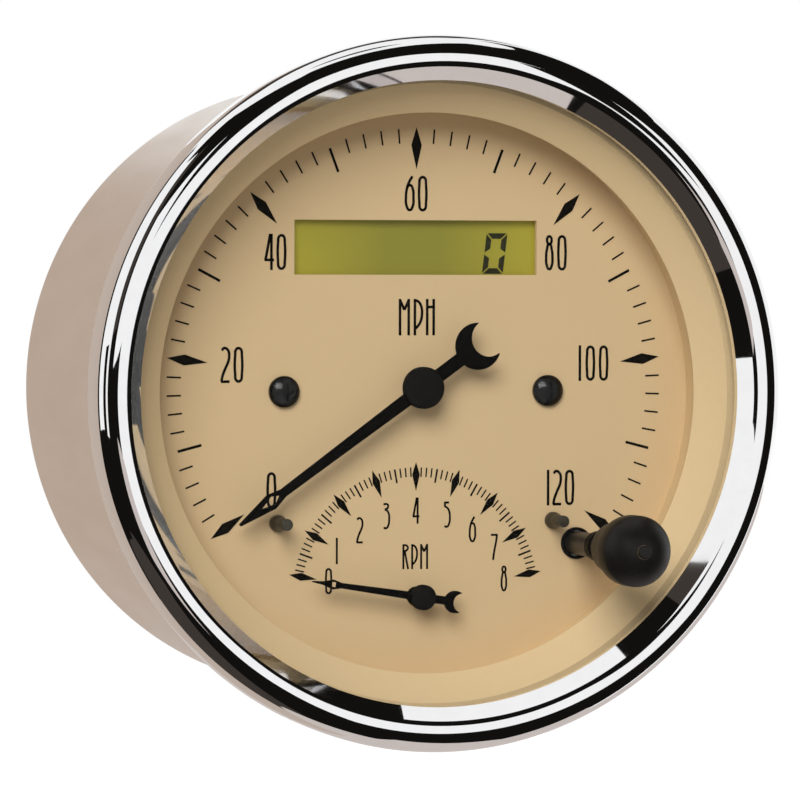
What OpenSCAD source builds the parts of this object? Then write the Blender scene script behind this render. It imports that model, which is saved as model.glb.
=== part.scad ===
// In-dash speedometer and tachometer with a display window and a push button.
// Each piece is drawn in the dial's own view: X right, Y up and Z towards the reader, with Z = 0 on the
// rear of the bezel, where it sits on the panel. face_on() then stands it up, so that the part has
// X right, Z up and Y into the panel.

/* [Case] */
// Outside diameter of the case barrel
case_d = 85; // [83:0.5:92]
// Depth from the panel to the back of the case
case_depth = 53; // [51:0.5:62]
// Wall of the drawn case
case_wall = 0.9; // [0.7:0.1:1.2]
// Outside radius of the case's back corner
case_back_r = 4; // [2:0.5:4.5]
// Width of the flange at the case's mouth
case_flange_w = 3.1; // [2.6:0.1:3.6]
// Fillet between the barrel and its flange
case_root_r = 0.9; // [0.7:0.1:0.9]

/* [Bezel] */
// Wall of the skirt round the flange
bezel_skirt_t = 0.9; // [0.7:0.1:1.4]
// How far the bead stands out over the skirt
bezel_bead_step = 0.6; // [0.3:0.1:1]
// Radius of the round bead
bezel_bead_r = 3; // [2.8:0.1:3.2]
// Height of the bead's centre over the lens gasket
bezel_bead_rise = 0.1; // [0:0.1:0.5]
// Depth of the bead's wall behind its centre
bezel_bead_back = 2.3; // [1.8:0.1:2.8]
// Width of the whole ring, from its inner edge to the bead's outside
bezel_face_w = 6; // [5.6:0.1:6.4]
// Height of the ring's upright inner edge
bezel_lip_h = 1; // [0.7:0.1:1.4]
// Thickness of the hem rolled in behind the flange
bezel_hem_t = 0.9; // [0.9:0.1:1.4]
// Outside radius of the rolled rear corner
bezel_hem_r = 1.2; // [0.8:0.1:1.4]
// Radial clearance of the hem round the barrel's fillet
bezel_hem_gap = 0.2; // [0.1:0.1:0.6]
// Radial clearance between the skirt and the flange
bezel_fit = 0.2; // [0.1:0.05:0.3]

/* [Lens and shroud] */
// Thickness of the lens
lens_t = 1.6; // [1.2:0.1:2.4]
// Radial clearance of the lens and shroud inside the flange's edge
lens_edge_gap = 0.2; // [0.1:0.1:0.4]
// Thickness of the gasket over the lens
gasket_t = 0.5; // [0.3:0.1:0.8]
// How far the gasket stays back from the bezel's inner edge
gasket_inset = 0.5; // [0.3:0.1:1]
// Distance of the shroud's inner wall from the inside of the case
shroud_inset = 3.1; // [2.6:0.1:3.6]
// Draft of the shroud's inner wall
shroud_draft = 0.3; // [0:0.1:0.5]
// Wall of the shroud
shroud_t = 1.2; // [1:0.1:1.5]
// Height of the shroud's rim over the case flange
shroud_rim_h = 2.8; // [2.4:0.1:3.6]
// Depth of the dial below the shroud's rim
shroud_depth = 9; // [8:0.1:10]

/* [Dial] */
// Thickness of the dial plate
dial_t = 0.8; // [0.6:0.1:1.2]
// Radial clearance of the dial in the case
dial_gap = 0.4; // [0.2:0.1:0.8]
// Height of the speedometer spindle over the case axis
speedo_rise = 0.65; // [0:0.05:1]
// Distance from the speedometer spindle down to the tachometer spindle
tach_drop = 27.95; // [27.8:0.05:29]
// Radius of the dial's holes for the spindles
dial_bore_r = 1.3; // [1.25:0.05:1.6]
// Width of the display window
window_w = 34; // [30:0.5:36]
// Height of the display window
window_h = 7.3; // [6.5:0.1:8]
// Height of the display window over the speedometer spindle
window_rise = 18.7; // [17.5:0.1:19.5]

/* [Dial screws and stop pins] */
// Distance of each dial screw, pillar and stud from the middle
post_x = 18.5; // [17.5:0.1:20]
// How far the screws lie below the speedometer spindle
post_drop = 0.5; // [0:0.1:1.5]
// Radius of a dial screw's shank
screw_r = 1.1; // [0.9:0.05:1.3]
// Radius of a dial screw's head
screw_head_r = 2.1; // [1.8:0.1:2.5]
// Height of a dial screw's head
screw_head_h = 1.5; // [1.3:0.1:1.8]
// Radius of the dome of a dial screw's head
screw_dome_r = 2.9; // [2.7:0.1:4]
// Width of the cross recess
screw_slot_w = 0.6; // [0.4:0.1:0.8]
// Length of the cross recess
screw_slot_l = 2.4; // [1.8:0.1:2.8]
// Depth of the cross recess
screw_slot_d = 0.8; // [0.5:0.1:1]
// Length of the thread inside the pillar
screw_reach = 4.5; // [3:0.5:6]
// Clearance round threads and tails in their holes
thread_gap = 0.05; // [0.02:0.01:0.1]
// Distance of a stop pin from the speedometer spindle
stop_reach = 26.4; // [26.2:0.05:26.6]
// Angle of the stop pins below the horizontal
stop_angle = 42.95; // [42.95:0.05:44]
// Height of a stop pin over the dial
stop_h = 4.8; // [4:0.1:5.6]
// Radius of a stop pin
stop_r = 0.8; // [0.6:0.05:0.85]
// Radius of a stop pin's flared foot
stop_foot_r = 1.15; // [1:0.05:1.3]
// Height of the straight part of the foot
stop_foot_h = 0.7; // [0.4:0.1:1]
// Height at which the flare ends
stop_flare_h = 1.9; // [1.5:0.1:2.2]
// Radius of the stem that holds a stop pin in the dial
stop_stem_r = 0.6; // [0.4:0.05:0.8]
// Length of that stem behind the dial
stop_stem_l = 1; // [0.6:0.1:2]

/* [Pointers] */
// Height of both pointers' undersides over the dial
pointer_lift = 2.7; // [2.4:0.1:3.2]
// Thickness of a pointer
pointer_t = 0.6; // [0.4:0.1:0.8]
// Thickness of the hub cap's disc over the pointer
hub_cap_t = 0.7; // [0.5:0.1:1.2]
// Radius of the hub's sleeve through the pointer
hub_sleeve_r = 1.2; // [1:0.05:1.4]
// Clearance of the hub's sleeve over the dial
hub_lift = 0.9; // [0.5:0.1:1.2]
// Clearance of parts that are pressed together
press_gap = 0.01; // [0.01:0.01:0.03]

/* [Speedometer pointer] */
// Resting angle, from the right hand
speedo_rest = 215.5; // [213:0.5:216]
// Length from the spindle to the tip
speedo_tip = 31.1; // [30.6:0.1:31.3]
// Radius of the hub
speedo_hub_r = 2.8; // [2.4:0.1:3.2]
// Half width of the bar at the hub
speedo_root_w = 0.9; // [0.7:0.05:1.1]
// Half width of the neck behind the blade
speedo_neck_w = 0.58; // [0.4:0.02:0.7]
// Half width of the blade at its widest
speedo_blade_w = 1.08; // [0.9:0.02:1.1]
// Half width of the tip
speedo_point_w = 0.16; // [0.1:0.02:0.3]
// Distance of the neck from the tip
speedo_neck = 7.3; // [7:0.1:8]
// Distance of the widest place from the tip
speedo_blade = 5.3; // [4.8:0.1:5.8]
// Distance of the opening's front point from the tip
speedo_open_tip = 3.6; // [3.2:0.1:4]
// Distance of the opening's widest place from the tip
speedo_open_mid = 5.6; // [5.2:0.1:5.8]
// Distance of the opening's rear point from the tip
speedo_open_end = 6.7; // [6.3:0.1:6.8]
// Half width of the opening
speedo_open_w = 0.62; // [0.4:0.02:0.64]
// Distance of the wrench's middle behind the spindle
speedo_jaw = 9.5; // [9:0.1:9.7]
// Radius of the wrench
speedo_jaw_r = 3.15; // [2.9:0.05:3.2]
// Distance of the wrench's mouth behind the spindle
speedo_scoop = 11.4; // [11.1:0.1:11.6]
// Radius of the wrench's mouth
speedo_scoop_r = 2.5; // [2.2:0.05:2.6]

/* [Tachometer pointer] */
// Resting angle, from the right hand
tach_rest = 171.3; // [168:0.1:173]
// Length from the spindle to the tip
tach_tip = 15.5; // [14.5:0.1:15.8]
// Radius of the hub
tach_hub_r = 1.7; // [1.6:0.1:2.2]
// Half width of the bar at the hub
tach_root_w = 0.56; // [0.45:0.02:0.7]
// Half width of the neck behind the blade
tach_neck_w = 0.37; // [0.3:0.02:0.5]
// Half width of the blade at its widest
tach_blade_w = 0.65; // [0.55:0.02:0.75]
// Half width of the blade's shoulder
tach_shoulder_w = 0.26; // [0.2:0.02:0.4]
// Half width of the tip
tach_point_w = 0.08; // [0.06:0.02:0.2]
// Distance of the neck from the tip
tach_neck = 4; // [3.7:0.1:4.6]
// Distance of the widest place from the tip
tach_blade = 2.9; // [2.6:0.1:3.2]
// Distance of the shoulder from the tip
tach_shoulder = 1.6; // [1.2:0.1:2]
// Length of the opening
tach_open_l = 0.85; // [0.5:0.05:1]
// Half width of the opening
tach_open_w = 0.32; // [0.2:0.02:0.36]
// Distance of the wrench's middle behind the spindle
tach_jaw = 4.6; // [4.2:0.1:5]
// Radius of the wrench
tach_jaw_r = 1.5; // [1.3:0.05:1.7]
// Distance of the wrench's mouth behind the spindle
tach_scoop = 5.6; // [5.4:0.1:5.9]
// Radius of the wrench's mouth
tach_scoop_r = 1.28; // [1.1:0.02:1.3]

/* [Movements] */
// Radius of a spindle
spindle_r = 0.6; // [0.45:0.05:0.7]
// Running clearance of a spindle in its bearings
bearing_gap = 0.05; // [0.02:0.01:0.08]
// Radius of a rotor magnet
magnet_r = 5; // [4:0.1:5.4]
// Thickness of a rotor magnet
magnet_t = 4; // [3:0.1:5]
// Free space round a rotor magnet
magnet_gap = 0.4; // [0.3:0.05:0.6]
// Outside radius of a bobbin
bobbin_r = 7; // [6.6:0.1:7.4]
// Height of a bobbin
bobbin_h = 12; // [10:0.5:13]
// Outside radius of a bobbin's bearing tubes
bearing_r = 1.5; // [1.3:0.1:1.8]
// Length of the bearing tubes
bearing_l = 2.4; // [2:0.1:3]
// Thickness of the coil windings
coil_t = 1.6; // [1.2:0.1:1.9]
// Width of each coil band
coil_w = 6; // [5:0.5:7]
// Clearance of the coils round the bobbin
coil_gap = 0.1; // [0.05:0.05:0.2]
// Clearance of the shield can round the coils
can_gap = 0.4; // [0.2:0.1:0.8]
// Wall of the shield can
can_wall = 0.6; // [0.4:0.1:1]

/* [Boards and pillars] */
// Thickness of a circuit board
board_t = 1.6; // [1:0.1:2]
// Radial clearance of the display board inside the dial's edge
board_inset = 0.6; // [0.2:0.1:1.4]
// Distance between the dial and the display board
dial_pillar_l = 8; // [7.6:0.1:9]
// Distance between the power board and the back of the case
rear_pillar_l = 9.3; // [8.5:0.1:11]
// Radius of the dial pillars
dial_pillar_r = 2.6; // [2.2:0.1:3]
// Radius of the board pillars
board_pillar_r = 3; // [2.4:0.1:3.6]
// Radius of the rear pillars
rear_pillar_r = 4.4; // [4:0.1:4.8]
// Radius of a pillar's threaded tail
tail_r = 1.1; // [0.9:0.1:1.4]
// Length of a pillar's tail past its board
tail_l = 4; // [2:0.5:6]
// Clearance round a pillar's tail in its board
tail_gap = 0.1; // [0.05:0.05:0.3]
// Width of the power board
power_w = 60; // [58:0.5:61]
// Height of the power board
power_h = 28; // [26:0.5:30]
// Height of the power board's top edge over the case axis
power_top = 5; // [4.5:0.1:5.2]
// Thickness of the header that links the boards
link_t = 2.5; // [2:0.1:3]
// Height of the header that links the boards
link_h = 14; // [10:0.5:15]
// Distance of the link header from the middle
link_x = 26.2; // [25:0.1:27]

/* [Display] */
// Width of the display panel
lcd_w = 40; // [38:0.5:41]
// Height of the display panel
lcd_h = 12; // [11:0.1:12.6]
// Thickness of the display panel
lcd_t = 1.6; // [1.1:0.1:2]
// Gap between the dial and the display panel
lcd_set = 0.4; // [0.2:0.1:0.8]
// Clearance of the display panel in its frame
lcd_gap = 0.1; // [0.05:0.05:0.2]
// Wall of the display frame
lcd_frame_t = 1.4; // [1:0.1:1.6]
// Gap between the display frame and the dial
lcd_frame_gap = 0.1; // [0.05:0.05:0.2]
// Thickness of a contact strip
lcd_strip_t = 1.8; // [1.2:0.1:2]
// How much shorter than the panel the contact strips and the backlight are
lcd_strip_short = 1; // [0.5:0.5:2]
// Gap between the backlight and the contact strips
lcd_light_gap = 0.2; // [0.1:0.1:0.4]

/* [Reset button] */
// Distance of the reset shaft beyond the right stop pin
reset_step = 4.6; // [4.2:0.1:5.4]
// Radius of the reset shaft
reset_r = 1.6; // [1.3:0.1:1.7]
// Radius of the dial's hole for the shaft
reset_hole_r = 2.15; // [2:0.05:2.4]
// Clearance of the shaft in the lens
reset_lens_gap = 0.4; // [0.2:0.1:0.6]
// Height of the knob's rear rim over the dial
knob_lift = 15.6; // [14.5:0.1:17]
// Radius of the knob's collar
knob_collar_r = 3.7; // [3.2:0.1:4.2]
// Length of the knob's collar
knob_collar_l = 4.4; // [4:0.1:5]
// Length of the flare from the collar to the head
knob_flare_l = 1.8; // [1.2:0.1:2.4]
// Radius of the knob's head
knob_head_r = 4.7; // [4.4:0.1:5.2]
// Length of the head's straight side
knob_side_l = 2.4; // [1.6:0.1:3]
// Height of the head's dome
knob_dome_h = 2.8; // [2.2:0.1:3.6]
// Radius of the nub on the dome
knob_nub_r = 0.95; // [0.6:0.05:1.2]
// Height of the nub over the dome
knob_nub_h = 0.5; // [0.2:0.1:0.6]
// Depth of the shaft in the knob
knob_socket = 6; // [4:0.5:7]
// Length of the shaft behind the dial
reset_tail = 1.8; // [1.6:0.1:2]
// Radius of the retaining clip
clip_r = 3.2; // [2.8:0.1:3.6]
// Thickness of the retaining clip
clip_t = 0.7; // [0.5:0.1:0.9]
// Depth of the clip's groove in the shaft
clip_groove = 0.4; // [0.3:0.1:0.5]
// Gap between the clip and the dial
clip_gap = 0.1; // [0.05:0.05:0.2]
// Side of the reset switch's square body
switch_w = 6; // [5.6:0.1:7]
// Height of the reset switch's body
switch_h = 3.4; // [3.2:0.1:3.6]
// Floor of the switch's body under its plunger
switch_floor = 0.2; // [0.1:0.05:0.3]
// Radius of the switch's plunger
plunger_r = 1.2; // [1:0.05:1.4]
// Sliding clearance of the plunger in the switch
plunger_gap = 0.1; // [0.05:0.01:0.1]
// How far the plunger reaches into the switch at rest
plunger_reach = 1.1; // [0.6:0.1:1.1]
// Mean radius of the return spring
spring_r = 2; // [1.9:0.05:2.2]
// Wire diameter of the return spring
spring_wire = 0.35; // [0.25:0.05:0.4]
// Turns of the return spring
spring_turns = 3.5; // [2.5:0.5:3.5]
// Gap between the spring's ends and what they bear on
spring_end_gap = 0.02; // [0.01:0.01:0.1]

/* [Board components] */
// Side of the logic chip
logic_w = 12; // [8:0.5:13]
// Distance of the logic chip to the left of the middle
logic_x = 22; // [21:0.5:24]
// Distance of the chips and capacitors below the case axis
chip_drop = 12; // [11:0.5:13]
// Width of the driver chip
driver_w = 14; // [10:0.5:16]
// Height of the driver chip
driver_h = 10; // [6:0.5:12]
// Thickness of both chips
chip_t = 1.8; // [1:0.1:2.4]
// Radius of a capacitor
capacitor_r = 4; // [3:0.5:5]
// Height of a capacitor
capacitor_h = 12; // [8:0.5:16]
// Distance of the capacitors from the middle
capacitor_x = 18.5; // [17:0.5:19.5]

/* [Lamps] */
// Distance of each lamp from the middle
lamp_x = 27.3; // [26.9:0.1:28]
// Height of each lamp over the case axis
lamp_y = 11; // [10.6:0.1:11.4]
// Radius of a lamp socket's body
socket_r = 6.3; // [5.8:0.1:6.4]
// Clearance of a lamp socket in the case
socket_gap = 0.2; // [0.1:0.05:0.3]
// Length of a lamp socket inside the case
socket_l = 8; // [6:0.5:10]
// Radius of a lamp socket's flange
socket_flange_r = 8; // [7.5:0.1:9]
// Thickness of a lamp socket's flange
socket_flange_t = 2; // [1.5:0.1:3]
// Width of the finger bar across the socket
socket_bar_w = 3; // [2:0.5:4]
// Height of the finger bar
socket_bar_h = 4; // [2:0.5:6]
// Radius of a bulb
bulb_r = 4.9; // [4:0.1:5.1]
// Clearance of a bulb in its socket
bulb_gap = 0.1; // [0.05:0.05:0.2]
// Depth of a bulb in its socket
bulb_seat = 5; // [3:0.5:6]
// Straight length of a bulb in front of its socket
bulb_l = 3; // [1:0.5:6]
// Radius of the light windows through the display board
light_window_r = 5.5; // [4:0.1:5.8]

/* [Terminals and studs] */
// Number of spade terminals
spade_count = 6; // [4:1:6]
// Distance between the spade terminals
spade_pitch = 6; // [5:0.1:6.2]
// Width of a spade terminal
spade_w = 6.3; // [4.8:0.1:6.5]
// Thickness of a spade terminal
spade_t = 0.8; // [0.5:0.1:1]
// Length of a spade terminal behind its base
spade_l = 8; // [6:0.5:12]
// Clearance of the spades in their base
spade_gap = 0.05; // [0.02:0.01:0.1]
// Height of the terminals' middle below the case axis
terminal_drop = 12; // [11.5:0.5:14]
// Margin of the terminal base round its spades
terminal_margin = 2.4; // [2:0.1:3]
// Thickness of the terminal base behind the case
terminal_t = 3; // [2:0.5:5]
// Margin of the base's neck round its spades, through the case
terminal_neck = 1.4; // [1:0.1:1.6]
// Clearance of the base's neck in the case
terminal_gap = 0.2; // [0.1:0.05:0.3]
// Radius of a mounting stud's outer part, which takes the bracket
stud_r = 2.4; // [2.3:0.05:2.5]
// Step from the stud's outer part to its stouter root, which the jam nut locks
stud_step = 0.5; // [0.3:0.1:0.6]
// How far the root shows behind the jam nut
stud_root_show = 0.8; // [0.4:0.1:2]
// Length of a mounting stud behind the case
stud_l = 18; // [12:0.5:30]
// Depth of a mounting stud in its pillar
stud_reach = 4.5; // [3:0.1:5]
// Clearance of a stud's root in the case's back
stud_gap = 0.15; // [0.05:0.05:0.3]
// Radius of a stud washer
washer_r = 5.5; // [5:0.1:5.8]
// Thickness of a stud washer
washer_t = 1; // [0.6:0.1:1.6]
// Width of a stud nut across its flats
nut_w = 9.5; // [8.5:0.5:10]
// Thickness of a stud nut
nut_t = 3.2; // [2.4:0.1:4.5]

/* [Hidden] */
$fn = 96;
cut = 0.5;
mirror_sides = [-1, 1];

// Radii
case_r = case_d / 2;
case_in_r = case_r - case_wall;
flange_r = case_r + case_flange_w;
skirt_in_r = flange_r + bezel_fit;
skirt_r = skirt_in_r + bezel_skirt_t;
bezel_r = skirt_r + bezel_bead_step;
bead_mid_r = bezel_r - bezel_bead_r;
lip_r = bezel_r - bezel_face_w;
hem_in_r = case_r + case_root_r + bezel_hem_gap;
lens_r = flange_r - lens_edge_gap;
shroud_r = case_in_r - shroud_inset;
dial_r = case_in_r - dial_gap;
board_r = dial_r - board_inset;

// Heights, from the panel towards the reader
flange_front = bezel_hem_t + case_wall;
shroud_front = flange_front + shroud_rim_h;
lens_front = shroud_front + lens_t;
lip_z = lens_front + gasket_t;
bead_z = lip_z + bezel_bead_rise;
dial_z = shroud_front - shroud_depth;
dial_back = dial_z - dial_t;
board_front = dial_back - dial_pillar_l;
board_back = board_front - board_t;
case_back = -case_depth;
case_floor = case_back + case_wall;
power_back = case_floor + rear_pillar_l;
power_front = power_back + board_t;

// Places on the dial
speedo_y = speedo_rise;
tach_y = speedo_y - tach_drop;
post_y = speedo_y - post_drop;
window_y = speedo_y + window_rise;
stop_turn = [cos(stop_angle), -sin(stop_angle)];
reset_reach = stop_reach + reset_step;
terminal_y = -terminal_drop;

// Pointers and hubs
pointer_z = dial_z + pointer_lift;
pointer_front = pointer_z + pointer_t;
hub_front = pointer_front + hub_cap_t;
hub_foot = dial_z + hub_lift;
hub_sleeve_fit_r = hub_sleeve_r - press_gap;
spindle_front = pointer_front + hub_cap_t / 2;

// Movements, behind the display board
bobbin_front_z = board_back - bearing_l;
bobbin_mid_z = bobbin_front_z - bobbin_h / 2;
bobbin_back_z = bobbin_front_z - bobbin_h;
bearing_end_z = bobbin_back_z - bearing_l;
spindle_end = bobbin_back_z - bearing_l / 2;
coil_half = bobbin_r + coil_gap + coil_t;
coil_front_z = bobbin_front_z + coil_t;
coil_back_z = bobbin_back_z - coil_t;
can_in_r = sqrt(coil_half * coil_half + coil_w * coil_w / 4) + can_gap;
can_r = can_in_r + can_wall;
can_floor_z = bearing_end_z - can_gap;
can_back_z = can_floor_z - can_wall;

// Display
lcd_front = dial_back - lcd_set;
lcd_back = lcd_front - lcd_t;
lcd_in_w = lcd_w + 2 * lcd_gap;
lcd_in_h = lcd_h + 2 * lcd_gap;
lcd_bar_w = lcd_w - lcd_strip_short;
lcd_strip_y = lcd_h / 2 - lcd_strip_t / 2;
lcd_light_h = lcd_h - 2 * lcd_strip_t - 2 * lcd_light_gap;

// Reset button
knob_rim = dial_z + knob_lift;
knob_flare_z = knob_rim + knob_collar_l;
knob_head_z = knob_flare_z + knob_flare_l;
knob_dome_z = knob_head_z + knob_side_l;
knob_dome_r = (knob_head_r * knob_head_r + knob_dome_h * knob_dome_h) / (2 * knob_dome_h);
knob_top = knob_dome_z + knob_dome_h;
reset_front = knob_rim + knob_socket;
reset_end = dial_back - reset_tail;
clip_front = dial_back - clip_gap;
clip_back = clip_front - clip_t;
clip_in_r = reset_r - clip_groove;
switch_front = board_front + switch_h;
plunger_end = switch_front - plunger_reach;
spring_front = clip_back - spring_end_gap;
spring_back = switch_front + spring_end_gap;

// Terminals and studs
spade_span = (spade_count - 1) * spade_pitch;
terminal_back = case_back - terminal_t;
spade_end = terminal_back - spade_l;
washer_back = case_back - washer_t;
nut_back = washer_back - nut_t;
stud_end = case_back - stud_l;
stud_root_r = stud_r + stud_step;
stud_root_end = nut_back - stud_root_show;
stud_front = case_floor + stud_reach;

// Stands the dial's own view up in the part's frame
module face_on() {
    rotate([90, 0, 0]) children();
}

// A round bar between two heights
module bar(r, z0, z1) {
    translate([0, 0, z0]) cylinder(r = r, h = z1 - z0);
}

// A round bar with a hole through it
module tube(r, bore_r, z0, z1) {
    difference() {
        bar(r, z0, z1);
        bar(bore_r, z0 - cut, z1 + cut);
    }
}

// A block between two heights, centred on the axis
module block(w, h, z0, z1) {
    translate([-w / 2, -h / 2, z0]) cube([w, h, z1 - z0]);
}

module at_speedo() {
    translate([0, speedo_y, 0]) children();
}

module at_tach() {
    translate([0, tach_y, 0]) children();
}

module at_posts() {
    for (side = mirror_sides) translate([side * post_x, post_y, 0]) children();
}

module at_stops() {
    for (side = mirror_sides)
        translate([side * stop_reach * stop_turn[0], speedo_y + stop_reach * stop_turn[1], 0]) children();
}

module at_window() {
    translate([0, window_y, 0]) children();
}

module at_reset() {
    translate([reset_reach * stop_turn[0], speedo_y + reset_reach * stop_turn[1], 0]) children();
}

module at_lamps() {
    for (side = mirror_sides) translate([side * lamp_x, lamp_y, 0]) children();
}

module at_spades() {
    for (i = [0 : spade_count - 1])
        translate([i * spade_pitch - spade_span / 2, terminal_y, 0]) children();
}

// Case, bezel and lens

module case_outline() {
    back_mid_r = case_r - case_back_r;
    translate([0, case_back]) square([back_mid_r, -case_back + flange_front]);
    translate([0, case_back + case_back_r]) square([case_r, -case_back - case_back_r + flange_front]);
    translate([back_mid_r, case_back + case_back_r]) circle(case_back_r);
    translate([0, bezel_hem_t]) square([flange_r, case_wall]);
    difference() {
        translate([0, bezel_hem_t - case_root_r]) square([case_r + case_root_r, case_root_r]);
        translate([case_r + case_root_r, bezel_hem_t - case_root_r]) circle(case_root_r);
    }
}

module case_hollow() {
    in_r = case_back_r - case_wall;
    in_mid_r = case_in_r - in_r;
    translate([0, case_floor]) square([in_mid_r, -case_floor + flange_front + cut]);
    translate([0, case_floor + in_r]) square([case_in_r, -case_floor - in_r + flange_front + cut]);
    translate([in_mid_r, case_floor + in_r]) circle(in_r);
}

module case_cup() {
    color("#BDB0A4") face_on() difference() {
        rotate_extrude() difference() {
            case_outline();
            case_hollow();
        }
        at_posts() bar(stud_root_r + stud_gap, case_back - cut, case_floor + cut);
        at_lamps() bar(socket_r + socket_gap, case_back - cut, case_floor + cut);
        translate([0, terminal_y, 0])
            block(spade_span + spade_t + 2 * (terminal_neck + terminal_gap),
                spade_w + 2 * (terminal_neck + terminal_gap), case_back - cut, case_floor + cut);
    }
}

module bezel_outline() {
    hem_mid_r = skirt_r - bezel_hem_r;
    bead_back_z = bead_z - bezel_bead_back;
    translate([bead_mid_r, bead_z]) circle(bezel_bead_r);
    translate([bead_mid_r, bead_back_z]) square([bezel_bead_r, bezel_bead_back]);
    translate([lip_r, lip_z]) square([bezel_face_w / 2, bezel_lip_h + bezel_bead_r / 4]);
    translate([hem_in_r, 0]) square([hem_mid_r - hem_in_r, bead_back_z]);
    translate([hem_in_r, bezel_hem_r]) square([skirt_r - hem_in_r, bead_back_z - bezel_hem_r + cut]);
    translate([hem_mid_r, bezel_hem_r]) circle(bezel_hem_r);
}

// The ring's inside: an upright edge, then a slope at half a right angle up to the bead
module bezel_mouth() {
    square([lip_r, bead_z + bezel_bead_r + cut]);
    translate([lip_r, lip_z + bezel_lip_h]) polygon([
        [-bezel_face_w, -bezel_face_w],
        [bezel_face_w, bezel_face_w],
        [-bezel_face_w, bezel_face_w]
    ]);
}

module bezel() {
    color("#D9DADC") face_on() rotate_extrude() difference() {
        bezel_outline();
        bezel_mouth();
        translate([0, bezel_hem_t]) square([skirt_in_r, lip_z - bezel_hem_t]);
    }
}

module lens() {
    color("#E8F0F0", 0.3) face_on() difference() {
        bar(lens_r, shroud_front, lens_front);
        at_reset() bar(reset_r + reset_lens_gap, shroud_front - cut, lens_front + cut);
    }
}

module lens_gasket() {
    color("#202020") face_on() tube(lens_r, lip_r + gasket_inset, lens_front, lip_z);
}

module shroud_ring() {
    rim_back = shroud_front - shroud_t;
    color("#D2B88E") face_on() rotate_extrude() polygon([
        [shroud_r, dial_z],
        [shroud_r + shroud_draft, shroud_front],
        [lens_r, shroud_front],
        [lens_r, flange_front],
        [lens_r - shroud_t, flange_front],
        [lens_r - shroud_t, rim_back],
        [shroud_r + shroud_draft + shroud_t, rim_back],
        [shroud_r + shroud_t, dial_z]
    ]);
}

// Dial with its screws and stops

module dial_plate() {
    color("#CDB289") face_on() difference() {
        bar(dial_r, dial_back, dial_z);
        at_speedo() bar(dial_bore_r, dial_back - cut, dial_z + cut);
        at_tach() bar(dial_bore_r, dial_back - cut, dial_z + cut);
        at_posts() bar(screw_r + tail_gap, dial_back - cut, dial_z + cut);
        at_stops() bar(stop_stem_r + press_gap, dial_back - cut, dial_z + cut);
        at_reset() bar(reset_hole_r, dial_back - cut, dial_z + cut);
        at_window() block(window_w, window_h, dial_back - cut, dial_z + cut);
    }
}

module dial_screws() {
    head_front = dial_z + screw_head_h;
    color("#1C1B1A") face_on() at_posts() {
        difference() {
            intersection() {
                bar(screw_head_r, dial_z, head_front);
                translate([0, 0, head_front - screw_dome_r]) sphere(screw_dome_r);
            }
            block(screw_slot_l, screw_slot_w, head_front - screw_slot_d, head_front + cut);
            block(screw_slot_w, screw_slot_l, head_front - screw_slot_d, head_front + cut);
        }
        bar(screw_r, dial_back - screw_reach, dial_z);
    }
}

module stop_pins() {
    color("#2A2826") face_on() at_stops() rotate_extrude() polygon([
        [0, dial_back - stop_stem_l],
        [stop_stem_r, dial_back - stop_stem_l],
        [stop_stem_r, dial_z],
        [stop_foot_r, dial_z],
        [stop_foot_r, dial_z + stop_foot_h],
        [stop_r, dial_z + stop_flare_h],
        [stop_r, dial_z + stop_h],
        [0, dial_z + stop_h]
    ]);
}

// Pointers: a spear with an open blade in front and an open-ended wrench behind

// A bar along the X axis from the points of its upper edge, with a hub and a wrench at its tail
module pointer(edge, hub_r, jaw, jaw_r, scoop, scoop_r) {
    count = len(edge);
    lower = [for (i = [count - 1 : -1 : 0]) [edge[i][0], -edge[i][1]]];
    difference() {
        union() {
            linear_extrude(pointer_t) polygon(concat(edge, lower));
            translate([-jaw, 0, 0]) bar(jaw_r, 0, pointer_t);
            bar(hub_r, 0, pointer_t);
        }
        translate([-scoop, 0, 0]) bar(scoop_r, -cut, pointer_t + cut);
        bar(hub_sleeve_r, -cut, pointer_t + cut);
    }
}

module speedo_pointer() {
    color("#1A1917") face_on() at_speedo() translate([0, 0, pointer_z]) rotate(speedo_rest) difference() {
        pointer([
            [-speedo_jaw, speedo_root_w],
            [0, speedo_root_w],
            [speedo_tip - speedo_neck, speedo_neck_w],
            [speedo_tip - speedo_blade, speedo_blade_w],
            [speedo_tip, speedo_point_w]
        ], speedo_hub_r, speedo_jaw, speedo_jaw_r, speedo_scoop, speedo_scoop_r);
        translate([speedo_tip, 0, -cut]) linear_extrude(pointer_t + 2 * cut) polygon([
            [-speedo_open_tip, 0],
            [-speedo_open_mid, speedo_open_w],
            [-speedo_open_end, 0],
            [-speedo_open_mid, -speedo_open_w]
        ]);
    }
}

module tach_pointer() {
    color("#1A1917") face_on() at_tach() translate([0, 0, pointer_z]) rotate(tach_rest) difference() {
        pointer([
            [-tach_jaw, tach_root_w],
            [0, tach_root_w],
            [tach_tip - tach_neck, tach_neck_w],
            [tach_tip - tach_blade, tach_blade_w],
            [tach_tip - tach_shoulder, tach_shoulder_w],
            [tach_tip, tach_point_w]
        ], tach_hub_r, tach_jaw, tach_jaw_r, tach_scoop, tach_scoop_r);
        translate([tach_tip - tach_blade, 0, 0])
            block(tach_open_l, 2 * tach_open_w, -cut, pointer_t + cut);
    }
}

// The cap over a pointer, with its sleeve down to the spindle
module hub_cap(disc_r) {
    difference() {
        union() {
            bar(disc_r, pointer_front, hub_front);
            bar(hub_sleeve_fit_r, hub_foot, pointer_front);
        }
        bar(spindle_r + press_gap, hub_foot - cut, spindle_front);
    }
}

module speedo_hub_cap() {
    color("#1A1917") face_on() at_speedo() hub_cap(speedo_hub_r);
}

module tach_hub_cap() {
    color("#1A1917") face_on() at_tach() hub_cap(tach_hub_r);
}

// Movements: a magnet on the spindle turns inside two crossed coils

module spindle() {
    bar(spindle_r, spindle_end, spindle_front);
}

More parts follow.
